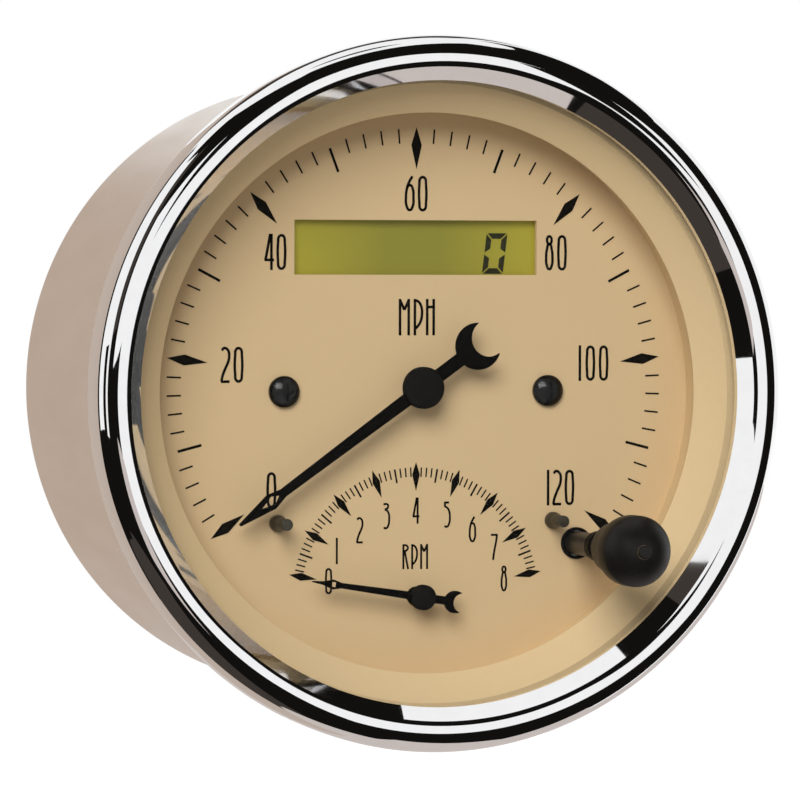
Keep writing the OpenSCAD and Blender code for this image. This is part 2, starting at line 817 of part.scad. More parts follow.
module rotor_magnet() {
    tube(magnet_r, spindle_r + press_gap, bobbin_mid_z - magnet_t / 2, bobbin_mid_z + magnet_t / 2);
}

module magnet_room() {
    half = magnet_t / 2 + magnet_gap;
    bar(magnet_r + magnet_gap, bobbin_mid_z - half, bobbin_mid_z + half);
}

module bobbin_front() {
    difference() {
        union() {
            bar(bobbin_r, bobbin_mid_z, bobbin_front_z);
            bar(bearing_r, bobbin_front_z, board_back);
        }
        bar(spindle_r + bearing_gap, bobbin_mid_z - cut, board_back + cut);
        magnet_room();
    }
}

module bobbin_rear() {
    difference() {
        union() {
            bar(bobbin_r, bobbin_back_z, bobbin_mid_z);
            bar(bearing_r, bearing_end_z, bobbin_back_z);
        }
        bar(spindle_r + bearing_gap, spindle_end - bearing_gap, bobbin_mid_z + cut);
        magnet_room();
    }
}

module crossed_coils() {
    difference() {
        union() {
            block(2 * coil_half, coil_w, coil_back_z, coil_front_z);
            block(coil_w, 2 * coil_half, coil_back_z, coil_front_z);
        }
        bar(bobbin_r + coil_gap, bobbin_back_z, bobbin_front_z);
        bar(bearing_r + coil_gap, coil_back_z - cut, coil_front_z + cut);
    }
}

module shield_can() {
    difference() {
        bar(can_r, can_back_z, board_back);
        bar(can_in_r, can_floor_z, board_back + cut);
    }
}

module speedo_spindle() {
    color("#B8BABC") face_on() at_speedo() spindle();
}

module speedo_rotor_magnet() {
    color("#4A4A4C") face_on() at_speedo() rotor_magnet();
}

module speedo_bobbin_front() {
    color("#E6E2D6") face_on() at_speedo() bobbin_front();
}

module speedo_bobbin_rear() {
    color("#E6E2D6") face_on() at_speedo() bobbin_rear();
}

module speedo_coils() {
    color("#B4683A") face_on() at_speedo() crossed_coils();
}

module speedo_shield_can() {
    color("#9C9EA0") face_on() at_speedo() shield_can();
}

module tach_spindle() {
    color("#B8BABC") face_on() at_tach() spindle();
}

module tach_rotor_magnet() {
    color("#4A4A4C") face_on() at_tach() rotor_magnet();
}

module tach_bobbin_front() {
    color("#E6E2D6") face_on() at_tach() bobbin_front();
}

module tach_bobbin_rear() {
    color("#E6E2D6") face_on() at_tach() bobbin_rear();
}

module tach_coils() {
    color("#B4683A") face_on() at_tach() crossed_coils();
}

module tach_shield_can() {
    color("#9C9EA0") face_on() at_tach() shield_can();
}

// Display behind the dial's window

module lcd_panel() {
    color("#8F8B33") face_on() at_window() block(lcd_w, lcd_h, lcd_back, lcd_front);
}

module lcd_frame() {
    frame_w = lcd_in_w + 2 * lcd_frame_t;
    frame_h = lcd_in_h + 2 * lcd_frame_t;
    color("#2B2B2D") face_on() at_window() difference() {
        block(frame_w, frame_h, board_front, dial_back - lcd_frame_gap);
        block(lcd_in_w, lcd_in_h, board_front - cut, dial_back + cut);
    }
}

module lcd_contact_strips() {
    color("#7A7C80") face_on() at_window() for (side = mirror_sides)
        translate([0, side * lcd_strip_y, 0]) block(lcd_bar_w, lcd_strip_t, board_front, lcd_back);
}

module lcd_backlight() {
    color("#E8E8DC") face_on() at_window() block(lcd_bar_w, lcd_light_h, board_front, lcd_back);
}

// Reset button

module reset_knob() {
    color("#2D2926") face_on() at_reset() difference() {
        union() {
            bar(knob_collar_r, knob_rim, knob_flare_z);
            translate([0, 0, knob_flare_z]) cylinder(r1 = knob_collar_r, r2 = knob_head_r, h = knob_flare_l);
            bar(knob_head_r, knob_head_z, knob_dome_z);
            intersection() {
                bar(knob_head_r, knob_dome_z, knob_top);
                translate([0, 0, knob_top - knob_dome_r]) sphere(knob_dome_r);
            }
            bar(knob_nub_r, knob_top - knob_nub_h, knob_top + knob_nub_h);
        }
        bar(reset_r + press_gap, knob_rim - cut, reset_front);
    }
}

module reset_shaft() {
    color("#3A3632") face_on() at_reset() difference() {
        bar(reset_r, reset_end, reset_front);
        tube(reset_r + cut, clip_in_r, clip_back, clip_front);
    }
}

module reset_clip() {
    color("#8E9092") face_on() at_reset()
        tube(clip_r, clip_in_r + press_gap, clip_back + press_gap, clip_front - press_gap);
}

// A round wire wound along the axis, as rings of points that follow the helix
module reset_spring() {
    ring_sides = 6;
    rings = ceil(spring_turns * 16);
    wire_r = spring_wire / 2;
    rise = spring_front - spring_back - spring_wire;
    points = [
        for (i = [0 : rings]) for (k = [0 : ring_sides - 1])
            let (turn = 360 * spring_turns * i / rings, around = 360 * k / ring_sides,
                r = spring_r + wire_r * cos(around))
            [r * cos(turn), r * sin(turn), spring_back + wire_r + rise * i / rings + wire_r * sin(around)]
    ];
    sides = [
        for (i = [0 : rings - 1]) for (k = [0 : ring_sides - 1])
            let (a = i * ring_sides + k, b = i * ring_sides + (k + 1) % ring_sides)
            each [[a, a + ring_sides, b], [b, a + ring_sides, b + ring_sides]]
    ];
    last = rings * ring_sides;
    ends = [for (k = [1 : ring_sides - 2]) each [[0, k, k + 1], [last, last + k + 1, last + k]]];
    color("#A8AAAC") face_on() at_reset() polyhedron(points, concat(sides, ends));
}

module reset_switch() {
    color("#26272A") face_on() at_reset() difference() {
        block(switch_w, switch_w, board_front, switch_front);
        bar(plunger_r + plunger_gap, board_front + switch_floor, switch_front + cut);
    }
}

module reset_plunger() {
    color("#D8D4C8") face_on() at_reset() bar(plunger_r, plunger_end, reset_end);
}

// Boards, pillars and components

module display_board() {
    color("#2E5A3C") face_on() difference() {
        bar(board_r, board_back, board_front);
        at_speedo() bar(dial_bore_r, board_back - cut, board_front + cut);
        at_tach() bar(dial_bore_r, board_back - cut, board_front + cut);
        at_posts() bar(tail_r + tail_gap, board_back - cut, board_front + cut);
        at_lamps() bar(light_window_r, board_back - cut, board_front + cut);
    }
}

module power_board() {
    color("#2E5A3C") face_on() difference() {
        translate([0, power_top - power_h / 2, 0]) block(power_w, power_h, power_back, power_front);
        at_posts() bar(tail_r + tail_gap, power_back - cut, power_front + cut);
    }
}

module link_header() {
    color("#1E1F22") face_on() translate([link_x, power_top - link_h / 2 - link_t / 2, 0])
        block(link_t, link_h, power_front, board_back);
}

// A pillar whose tail passes through the board behind or in front of it
module dial_pillars() {
    color("#B9A06A") face_on() at_posts() {
        difference() {
            bar(dial_pillar_r, board_front, dial_back);
            bar(screw_r + thread_gap, dial_back - screw_reach - thread_gap, dial_back + cut);
        }
        bar(tail_r, board_back - tail_l, board_front);
    }
}

module board_pillars() {
    hole_r = tail_r + thread_gap;
    hole_l = tail_l + thread_gap;
    color("#B9A06A") face_on() at_posts() difference() {
        bar(board_pillar_r, power_front, board_back);
        bar(hole_r, board_back - hole_l, board_back + cut);
        bar(hole_r, power_front - cut, power_front + hole_l);
    }
}

module rear_pillars() {
    color("#B9A06A") face_on() at_posts() {
        difference() {
            bar(rear_pillar_r, case_floor, power_back);
            bar(stud_root_r + thread_gap, case_floor - cut, stud_front + thread_gap);
        }
        bar(tail_r, power_back, power_front + tail_l);
    }
}

module logic_chip() {
    color("#1B1C1E") face_on() translate([-logic_x, -chip_drop, 0])
        block(logic_w, logic_w, board_back - chip_t, board_back);
}

module driver_chip() {
    color("#1B1C1E") face_on() translate([0, -chip_drop, 0])
        block(driver_w, driver_h, power_front, power_front + chip_t);
}

module capacitors() {
    color("#3B4250") face_on() for (side = mirror_sides)
        translate([side * capacitor_x, -chip_drop, 0])
            bar(capacitor_r, power_front, power_front + capacitor_h);
}

// Lamps, terminals and studs on the back of the case

module lamp_sockets() {
    body_front = case_back + socket_l;
    flange_back = case_back - socket_flange_t;
    color("#23252A") face_on() at_lamps() {
        difference() {
            union() {
                bar(socket_flange_r, flange_back, case_back);
                bar(socket_r, case_back, body_front);
            }
            bar(bulb_r + bulb_gap, body_front - bulb_seat, body_front + cut);
        }
        block(2 * socket_r, socket_bar_w, flange_back - socket_bar_h, flange_back);
    }
}

module lamp_bulbs() {
    seat_z = case_back + socket_l - bulb_seat;
    dome_z = case_back + socket_l + bulb_l;
    color("#DCE8E0", 0.5) face_on() at_lamps() {
        bar(bulb_r, seat_z, dome_z);
        translate([0, 0, dome_z]) sphere(bulb_r);
    }
}

module terminal_base() {
    color("#3A2A20") face_on() difference() {
        translate([0, terminal_y, 0]) {
            block(spade_span + spade_t + 2 * terminal_margin, spade_w + 2 * terminal_margin,
                terminal_back, case_back);
            block(spade_span + spade_t + 2 * terminal_neck, spade_w + 2 * terminal_neck,
                case_back, case_floor);
        }
        at_spades() block(spade_t + 2 * spade_gap, spade_w + 2 * spade_gap,
            terminal_back - cut, case_floor + cut);
    }
}

module spade_terminals() {
    color("#C9B26A") face_on() at_spades() block(spade_t, spade_w, spade_end, power_back);
}

module mounting_studs() {
    color("#B8BABC") face_on() at_posts() {
        bar(stud_root_r, stud_root_end, stud_front);
        bar(stud_r, stud_end, stud_root_end);
    }
}

module stud_washers() {
    color("#B8BABC") face_on() at_posts() tube(washer_r, stud_root_r + stud_gap, washer_back, case_back);
}

module stud_nuts() {
    corner_r = nut_w / sqrt(3);
    color("#B8BABC") face_on() at_posts() difference() {
        translate([0, 0, nut_back]) cylinder(r = corner_r, h = nut_t, $fn = 6);
        bar(stud_root_r + thread_gap, nut_back - cut, washer_back + cut);
    }
}

case_cup();
bezel();
lens();
lens_gasket();
shroud_ring();
dial_plate();
dial_screws();
stop_pins();
speedo_pointer();
speedo_hub_cap();
speedo_spindle();
speedo_rotor_magnet();
speedo_bobbin_front();
speedo_bobbin_rear();
speedo_coils();
speedo_shield_can();
tach_pointer();
tach_hub_cap();
tach_spindle();
tach_rotor_magnet();
tach_bobbin_front();
tach_bobbin_rear();
tach_coils();
tach_shield_can();
lcd_panel();
lcd_frame();
lcd_contact_strips();
lcd_backlight();
reset_knob();
reset_shaft();
reset_clip();
reset_spring();
reset_switch();
reset_plunger();
display_board();
power_board();
link_header();
dial_pillars();
board_pillars();
rear_pillars();
logic_chip();
driver_chip();
capacitors();
lamp_sockets();
lamp_bulbs();
terminal_base();
spade_terminals();
mounting_studs();
stud_washers();
stud_nuts();
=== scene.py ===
from math import atan2, cos, degrees, pi, radians, sin, sqrt

import bpy
from bpy.types import Operator, Panel, PropertyGroup
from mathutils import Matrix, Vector


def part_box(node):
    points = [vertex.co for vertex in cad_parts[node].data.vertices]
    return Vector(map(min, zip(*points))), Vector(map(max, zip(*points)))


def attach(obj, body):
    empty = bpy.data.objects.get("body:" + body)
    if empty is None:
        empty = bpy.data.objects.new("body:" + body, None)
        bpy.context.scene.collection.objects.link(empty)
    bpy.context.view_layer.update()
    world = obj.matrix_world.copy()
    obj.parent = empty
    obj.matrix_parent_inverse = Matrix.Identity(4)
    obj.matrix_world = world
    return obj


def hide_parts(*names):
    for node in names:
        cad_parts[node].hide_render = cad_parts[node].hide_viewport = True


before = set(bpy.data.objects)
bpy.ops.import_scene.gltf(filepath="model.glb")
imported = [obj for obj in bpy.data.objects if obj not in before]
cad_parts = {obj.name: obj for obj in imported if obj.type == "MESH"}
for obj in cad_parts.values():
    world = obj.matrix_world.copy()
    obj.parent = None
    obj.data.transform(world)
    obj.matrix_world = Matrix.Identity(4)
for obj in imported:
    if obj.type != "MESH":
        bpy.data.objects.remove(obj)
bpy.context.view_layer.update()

bl_info = {
    "name": "In-dash speedometer",
    "version": (1, 0, 0),
    "blender": (4, 5, 0),
    "location": "View3D > Sidebar > Gauge",
    "description": "Dresses the packed frame of a speedometer and tachometer as the finished gauge",
    "category": "Object",
}

# Lengths are in metres. The dial's own view has X right, Y up and Z towards the reader, with Z = 0 where the
# bezel sits on the panel, and place() turns it into the frame's X right, Y into the panel and Z up.
MM = 0.001
WELD = 0.0005 * MM
TURN_STEPS = 256
MIDDLE_STEPS = 128
SMALL_STEPS = 64
SMOOTH_ANGLE = radians(35)
EDGE_ANGLE = radians(28)
CREASE_ANGLE = radians(12)
FLAT_ANGLE = radians(0.2)
EDGE_SEGMENTS = 2


def linear(code):
    """The linear colour of an sRGB hex value."""
    parts = [int(code[i:i + 2], 16) / 255 for i in (1, 3, 5)]
    return tuple(p / 12.92 if p <= 0.04045 else ((p + 0.055) / 1.055) ** 2.4 for p in parts)


def length(name, description, millimetres):
    """A size that the user may change, written in millimetres."""
    return bpy.props.FloatProperty(
        name=name, description=description, default=millimetres * MM, unit="LENGTH", precision=5)


def angle(name, description, turn):
    """An angle that the user may change, written in degrees."""
    return bpy.props.FloatProperty(
        name=name, description=description, default=radians(turn), subtype="ANGLE")


def colour(name, description, code):
    """A colour that the user may change, written as an sRGB hex value."""
    return bpy.props.FloatVectorProperty(
        name=name, description=description, default=linear(code), subtype="COLOR", min=0, max=1)


def share(name, description, value):
    """A share from 0 to 1 that the user may change."""
    return bpy.props.FloatProperty(
        name=name, description=description, default=value, subtype="FACTOR", min=0, max=1)


def place(x, y, z):
    """A point of the dial's own view in the frame."""
    return Vector((x, -z, y))


def middle(node):
    """Where a node's centre lies on the dial, right and up."""
    low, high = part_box(node)
    return (low.x + high.x) / 2, (low.z + high.z) / 2


def front(node):
    """Height of a node's front over the panel."""
    return -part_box(node)[0].y


def back(node):
    """Height of a node's back over the panel."""
    return -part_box(node)[1].y


def width(node):
    """A node's width on the dial."""
    low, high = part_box(node)
    return high.x - low.x


def pair(node):
    """The radius of two like round solids that stand side by side in a node, and where their middles lie."""
    low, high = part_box(node)
    radius = (high.z - low.z) / 2
    y = (low.z + high.z) / 2
    return radius, [(low.x + radius, y), (high.x - radius, y)]


# Sizes and colours that a user would change

class StageSettings(PropertyGroup):
    camera_place: bpy.props.FloatVectorProperty(
        name="Camera place", description="Where the camera stands in the frame",
        default=(-228.41 * MM, -707.68 * MM, 15.40 * MM), subtype="TRANSLATION", unit="LENGTH", precision=5)
    camera_turn: bpy.props.FloatVectorProperty(
        name="Camera turn", description="How the camera is turned to look at the dial",
        default=(radians(88.74), radians(-0.095), radians(-17.62)), subtype="EULER")
    camera_lens: bpy.props.FloatProperty(
        name="Camera lens", description="Focal length in millimetres on a 36 mm sensor", default=251.64)
    floor_drop: length("Floor drop", "Depth of the floor below the middle of the gauge", 650)
    floor_size: length("Floor size", "Side of the square floor", 14000)
    floor_colour: colour("Floor colour", "Colour of the floor", "#D6D5D3")
    floor_glow: share("Floor glow", "Light that the floor adds of itself, so that it reads white", 0.6)
    fill_light: share("Fill light", "Strength of the even light from all round", 0.3)
    key_light: bpy.props.FloatProperty(
        name="Key light", description="Strength of the soft light from the upper left", default=2.6)
    key_turn: bpy.props.FloatVectorProperty(
        name="Key turn", description="How the key light is turned from straight down",
        default=(radians(60), radians(0), radians(-28)), subtype="EULER")
    key_softness: angle("Key softness", "How wide the key light looks from the gauge", 36)
    tent_reach: length("Tent reach", "Distance of the mirrored tent from the gauge", 600)
    hood_turn: angle("Hood turn", "How far the hood's axis is turned to the right of the gauge's own", 4)
    hood_end: angle("Hood end", "Half angle at which the black hood ends", 87)


class BezelSizes(PropertyGroup):
    bead_r: length("Bead radius", "Radius of the round bead", 2.9)
    bead_rise: length("Bead rise", "Height of the bead's centre over the inner edge's foot", 0.2)
    bead_back: length("Bead back", "Depth of the bead's wall behind its centre", 2.3)
    face_w: length("Face width", "Width of the ring from its inner edge to the bead's outside", 6)
    lip_h: length("Lip height", "Height of the upright inner edge", 1.08)
    crease_turn: angle("Crease", "How far the bead runs inwards from its crest to the flat slope", 28)
    bead_step: length("Bead step", "How far the bead stands out over the skirt", 0.6)
    skirt_t: length("Skirt wall", "Wall of the skirt round the case's flange", 0.9)
    hem_r: length("Hem radius", "Radius of the rolled rear corner", 1.2)
    hem_t: length("Hem thickness", "Thickness of the hem rolled in behind the flange", 0.9)
    hem_w: length("Hem width", "Width of the hem behind the flange", 3.1)
    edge_r: length("Edge radius", "Radius of the ring's small edges", 0.2)


class CaseSizes(PropertyGroup):
    wall: length("Wall", "Wall of the drawn case", 0.9)
    back_r: length("Back radius", "Outside radius of the case's back corner", 4)
    flange_w: length("Flange width", "Width of the flange at the case's mouth", 3.1)
    root_r: length("Root radius", "Fillet between the barrel and its flange", 0.9)
    stud_gap: length("Stud gap", "Clearance of a stud in the case's back", 0.15)
    socket_gap: length("Socket gap", "Clearance of a lamp socket in the case's back", 0.2)
    terminal_gap: length("Terminal gap", "Clearance of the terminal base in the case's back", 0.2)
    terminal_step: length("Terminal step", "How far the base's flange stands out over its neck", 1)
    socket_wall: length("Socket wall", "Wall of a lamp socket's neck round its bulb", 1.4)


class DialPrint(PropertyGroup):
    ink_t: length("Ink", "Thickness of the printed ink", 0.03)
    speedo_start: angle("Speed start", "Angle of 0 on the speed scale, from the right hand", 215)
    speedo_step: angle("Speed step", "Angle between two numbers on the speed scale", 125 / 3)
    speedo_r: length("Speed scale", "Radius at the middle of the short strokes", 33.6)
    tach_start: angle("Engine start", "Angle of 0 on the engine scale, from the right hand", 170)
    tach_step: angle("Engine step", "Angle between two numbers on the engine scale", 20)
    tach_r: length("Engine scale", "Radius at the middle of the short strokes", 16.62)
    number_h: length("Number height", "Height of the speed scale's numbers", 4.8)
    number_w: length("Number stroke", "Width of the strokes of the speed scale's numbers", 0.36)
    small_number_h: length("Small number height", "Height of the engine scale's numbers", 3.5)
    small_number_w: length("Small number stroke", "Width of the strokes of the engine scale's numbers", 0.27)
    unit_h: length("Unit height", "Height of the speed scale's unit", 4.87)
    small_unit_h: length("Small unit height", "Height of the engine scale's unit", 3.34)


class FinishColours(PropertyGroup):
    dial: colour("Dial", "Matt enamel of the dial", "#CDB289")
    shroud: colour("Shroud", "Moulded ring round the dial", "#D2B88E")
    ink: colour("Ink", "Printed strokes and numbers", "#0E0D0A")
    case: colour("Case", "Satin plating of the case", "#EFE8E0")
    chrome: colour("Chrome", "Polished plating of the bezel", "#F2F2F3")
    pointer: colour("Pointer", "Painted pointers", "#0C0B0A")
    knob: colour("Knob", "Moulded push button", "#131110")
    display: colour("Display", "Lit display behind the window", "#7E792F")
    display_edge: colour("Display edge", "Display towards its ends", "#998F31")
    digit: colour("Digit", "Dark segments of the display", "#1B1B0C")


# Modelling helpers

def choose(piece):
    """Makes a piece the active one and the only one that is selected."""
    bpy.ops.object.select_all(action="DESELECT")
    piece.select_set(True)
    bpy.context.view_layer.objects.active = piece


def open_up(piece):
    """Opens a piece in edit mode with all of it selected."""
    choose(piece)
    bpy.ops.object.mode_set(mode="EDIT")
    bpy.ops.mesh.select_all(action="SELECT")


def close_up(recalculate=True):
    """Merges the doubles of the piece in edit mode, turns its faces outwards and leaves edit mode."""
    bpy.ops.mesh.select_all(action="SELECT")
    bpy.ops.mesh.remove_doubles(threshold=WELD)
    if recalculate:
        bpy.ops.mesh.normals_make_consistent(inside=False)
    bpy.ops.object.mode_set(mode="OBJECT")


def begin(name, size=MM, location=(0, 0, 0)):
    """Starts a new piece as a plane, opened up."""
    bpy.ops.mesh.primitive_plane_add(size=size, location=location)
    piece = bpy.context.object
    piece.name = name
    piece.data.name = name
    open_up(piece)
    return piece


def smooth(piece, limit=SMOOTH_ANGLE):
    """Shades a piece smooth, apart from its sharper edges."""
    choose(piece)
    bpy.ops.object.shade_smooth_by_angle(angle=limit)


def settle(piece):
    """Puts a piece's place into its mesh, so that its object sits at the origin."""
    choose(piece)
    bpy.ops.object.transform_apply(location=True, rotation=True, scale=True)


def apply_modifiers(piece):
    """Applies all the modifiers of a piece in order."""
    choose(piece)
    for modifier in list(piece.modifiers):
        bpy.ops.object.modifier_apply(modifier=modifier.name)


def joined(name, pieces):
    """Joins pieces into the first of them, which gets a new name."""
    choose(pieces[0])
    for piece in pieces:
        piece.select_set(True)
    bpy.ops.object.join()
    pieces[0].name = name
    pieces[0].data.name = name
    return pieces[0]


def arc(r, z, radius, start, end, count):
    """Points of a round stretch of an outline, by its centre, its radius and its angles in degrees."""
    turns = [radians(start + (end - start) * i / count) for i in range(count + 1)]
    return [(r + radius * cos(t), z + radius * sin(t)) for t in turns]


def drawn(name, points):
    """Starts a piece as one line drawn through points, open in edit mode with all of it selected."""
    piece = begin(name)
    bpy.ops.mesh.merge(type="CENTER")
    bpy.ops.transform.translate(value=points[0])
    for here, there in zip(points, points[1:]):
        bpy.ops.mesh.extrude_region_move(TRANSFORM_OT_translate={"value": there - here})
    bpy.ops.mesh.select_all(action="SELECT")
    return piece


def turned(name, outline, centre=(0, 0), steps=TURN_STEPS, limit=SMOOTH_ANGLE):
    """A turned piece: an outline of (radius, height) points, spun about the line through centre."""
    x, y = centre
    on_axis = outline[0][0] == 0 and outline[-1][0] == 0
    path = outline if on_axis else outline + outline[:1]
    piece = drawn(name, [place(x + r, y, z) for r, z in path])
    bpy.ops.mesh.remove_doubles(threshold=WELD)
    bpy.ops.mesh.spin(steps=steps, angle=2 * pi, center=place(x, y, 0), axis=(0, 1, 0))
    close_up()
    smooth(piece, limit)
    return piece


def plate(name, corners, low, thickness):
    """A flat plate: its corners on the dial, right and up, filled and pulled up."""
    piece = drawn(name, [place(x, y, low) for x, y in corners])
    bpy.ops.mesh.edge_face_add()
    bpy.ops.mesh.extrude_region_move(TRANSFORM_OT_translate={"value": place(0, 0, thickness)})
    close_up()
    return piece


def softened(name, node, edge):
    """A copy of a frame node with its sharp edges rounded off."""
    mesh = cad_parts[node].data.copy()
    mesh.name = name
    mesh.materials.clear()
    piece = bpy.data.objects.new(name, mesh)
    bpy.context.scene.collection.objects.link(piece)
    open_up(piece)
    bpy.ops.mesh.remove_doubles(threshold=WELD)
    bpy.ops.mesh.customdata_custom_splitnormals_clear()
    bpy.ops.mesh.dissolve_limited(angle_limit=FLAT_ANGLE)
    bpy.ops.object.mode_set(mode="OBJECT")
    bevel = piece.modifiers.new("Edges", "BEVEL")
    bevel.width = edge
    bevel.segments = EDGE_SEGMENTS
    bevel.limit_method = "ANGLE"
    bevel.angle_limit = EDGE_ANGLE
    bevel.use_clamp_overlap = True
    apply_modifiers(piece)
    smooth(piece)
    return piece


def drilled(piece, cutters):
    """Cuts each cutter out of a piece and deletes the cutters."""
    for cutter in cutters:
        cut = piece.modifiers.new("Hole", "BOOLEAN")
        cut.operation = "DIFFERENCE"
        cut.solver = "EXACT"
        cut.object = cutter
    apply_modifiers(piece)
    choose(cutters[0])
    for cutter in cutters:
        cutter.select_set(True)
    bpy.ops.object.delete()
    smooth(piece)


def rod(name, r, low, high, centre):
    """A plain turned rod between two heights, as a cutter for a round hole."""
    return turned(name, [(0, low), (r, low), (r, high), (0, high)], centre, SMALL_STEPS)


def oblong(x0, x1, y0, y1):
    """The corners of an oblong plate."""
    return [(x0, y0), (x1, y0), (x1, y1), (x0, y1)]


# Materials

# Each two-tone finish: base colour, as one of the user's colours or a hex value, second tone, grain in mm,
# roughness from and to, metal, depth of the grain in mm and specular level
FINISHES = {
    # Bright nickel and chromium plating on polished steel: a mirror with the faintest polishing haze
    "chrome_plating": ("chrome", "#EEEEEF", 2.5, (0.02, 0.035), 1, 0, 0.5),
    # Satin zinc plating on drawn steel: an even warm grey sheen, faintly clouded along the draw
    "satin_zinc_plating": ("case", "#EBE3DA", 6, (0.3, 0.36), 1, 0, 0.5),
    # Sprayed matt enamel on aluminium: an even beige with a grain that only dulls the shine
    "sprayed_dial_enamel": ("dial", "#CBB087", 0.5, (0.6, 0.7), 0, 0.002, 0.15),
    # Moulded beige ABS, spark-eroded finish: a soft matt surface with a fine grain
    "moulded_beige_abs": ("shroud", "#CFB48A", 0.35, (0.55, 0.65), 0, 0.004, 0.2),
    # Screen-printed black ink: dead flat, with a trace of the screen's texture
    "screen_printed_ink": ("ink", "#13110D", 0.25, (0.7, 0.8), 0, 0, 0.03),
    # Satin black paint on stamped aluminium: dark, with a soft line of light on its edges
    "satin_black_paint": ("pointer", "#100F0E", 0.3, (0.55, 0.65), 0, 0.002, 0.01),
    # Moulded black nylon of the knob: a satin skin with a slight orange peel
    "moulded_black_knob": ("knob", "#191613", 0.6, (0.36, 0.46), 0, 0.006, 0.3),
    # Moulded black nylon of the caps and the collar on the dial, also the painted shade of the lining in the
    # lens's hole: matt, with a fine moulded grain
    "moulded_black_nylon": ("#0F0E0D", "#161513", 0.4, (0.45, 0.6), 0, 0.006, 0.04),
    # Moulded black nylon of the fittings: greyer, with a soft shine on its grain
    "moulded_socket_nylon": ("#22211F", "#2B2A27", 0.4, (0.45, 0.6), 0, 0.006, 0.4),
    # Moulded nylon of the pointer stops: a brownish black with a satin skin
    "moulded_stop_nylon": ("#2B271F", "#353026", 0.4, (0.3, 0.4), 0, 0.004, 0.3),
    # Blackened steel of the dial screws: black with small, sharp lights
    "blackened_steel": ("#080707", "#0D0C0C", 0.4, (0.12, 0.18), 0, 0.002, 0.22),
    # Switched liquid crystal: a dark olive that takes no light
    "dark_segment": ("digit", "#222210", 0.3, (0.5, 0.6), 0, 0, 0.2),
    # Bright zinc plating on steel: a bluish silver with a soft, slightly cloudy shine
    "bright_zinc_plating": ("#C3C6C8", "#AEB2B6", 1.2, (0.22, 0.36), 1, 0.002, 0.5),
    # Turned brass: a yellow metal with fine rings from the lathe
    "turned_brass": ("#C8A766", "#B39252", 0.8, (0.24, 0.34), 1, 0.002, 0.5),
    # Stamped brass blades: yellow metal, a little dulled by handling
    "stamped_brass": ("#C9AE72", "#A98F55", 1.5, (0.3, 0.42), 1, 0.002, 0.5),
    # Moulded brown phenolic: a hard resin, mottled by its wood-flour filler
    "moulded_phenolic": ("#4A3828", "#34271C", 0.7, (0.35, 0.5), 0, 0.005, 0.5),
    # Die-cut nitrile rubber: dull black with a faint bloom
    "nitrile_gasket": ("#141414", "#1F1F1E", 0.5, (0.7, 0.85), 0, 0.006, 0.5),
    # Ground steel spindle: bright, with a fine grain
    "ground_steel": ("#C9CBCD", "#B4B7BA", 0.3, (0.18, 0.28), 1, 0.001, 0.5),
    # Sintered ferrite magnet: dark grey with a granular skin
    "sintered_ferrite": ("#3A3A3C", "#2B2B2D", 0.35, (0.55, 0.75), 0, 0.01, 0.5),
    # Moulded white nylon: a milky, slightly waxy plastic
    "moulded_nylon": ("#E9E5DA", "#DDD8CA", 0.8, (0.4, 0.55), 0, 0.004, 0.5),
    # Enamelled copper wire, wound: lacquered red-brown metal with a fine roughness
    "enamelled_copper": ("#B4673A", "#8E4A26", 0.25, (0.3, 0.45), 1, 0.02, 0.5),
    # Glass and epoxy board under green lacquer: a faintly mottled green
    "lacquered_board": ("#2C5A3C", "#234B31", 0.5, (0.3, 0.45), 0, 0.004, 0.5),
    # Moulded epoxy of a chip: near black with a fine matt grain
    "moulded_epoxy": ("#1B1B1D", "#232325", 0.2, (0.5, 0.65), 0, 0.004, 0.5),
    # Sleeve on an aluminium can: dark blue film with a slight shine
    "sleeved_can": ("#2E3A52", "#263046", 1, (0.3, 0.4), 0, 0.003, 0.5),
    # Layered contact rubber: grey, mottled by its conducting layers
    "layered_rubber": ("#8A8B8C", "#55575A", 0.2, (0.6, 0.75), 0, 0.004, 0.5),
    # Blown glass of the bulbs: pale and mostly clear, with a smooth shine
    "blown_glass": ("#DDE6E0", "#CFDAD3", 2, (0.05, 0.12), 0, 0, 0.5),
}
# How the grain of a finish is drawn out along the frame's axes, and how much light a finish lets through
STRETCH = {"satin_zinc_plating": (1, 0.3, 1), "turned_brass": (0.15, 1, 0.15)}
CLEARNESS = {"blown_glass": 0.7}
# The lens's mirror image is so faint that the bare sheet's own index would show too much of it
COATED_IOR = 1.07


def add_node(tree, kind, inputs=None, **settings):
    """Adds a shader node with its settings. Each input is a socket to link from or a value to set."""
    node = tree.nodes.new("ShaderNode" + kind)
    for name, value in settings.items():
        setattr(node, name, value)
    for key, value in (inputs or {}).items():
        if isinstance(value, bpy.types.NodeSocket):
            tree.links.new(value, node.inputs[key])
        else:
            node.inputs[key].default_value = value
    return node


def blank(name):
    """A new material with an empty node tree."""
    material = bpy.data.materials.new(name)
    material.use_nodes = True
    material.node_tree.nodes.clear()
    return material, material.node_tree


def rgba(value):
    """A colour of three parts with full cover, from a property or a hex value."""
    return (*(linear(value) if isinstance(value, str) else value), 1)


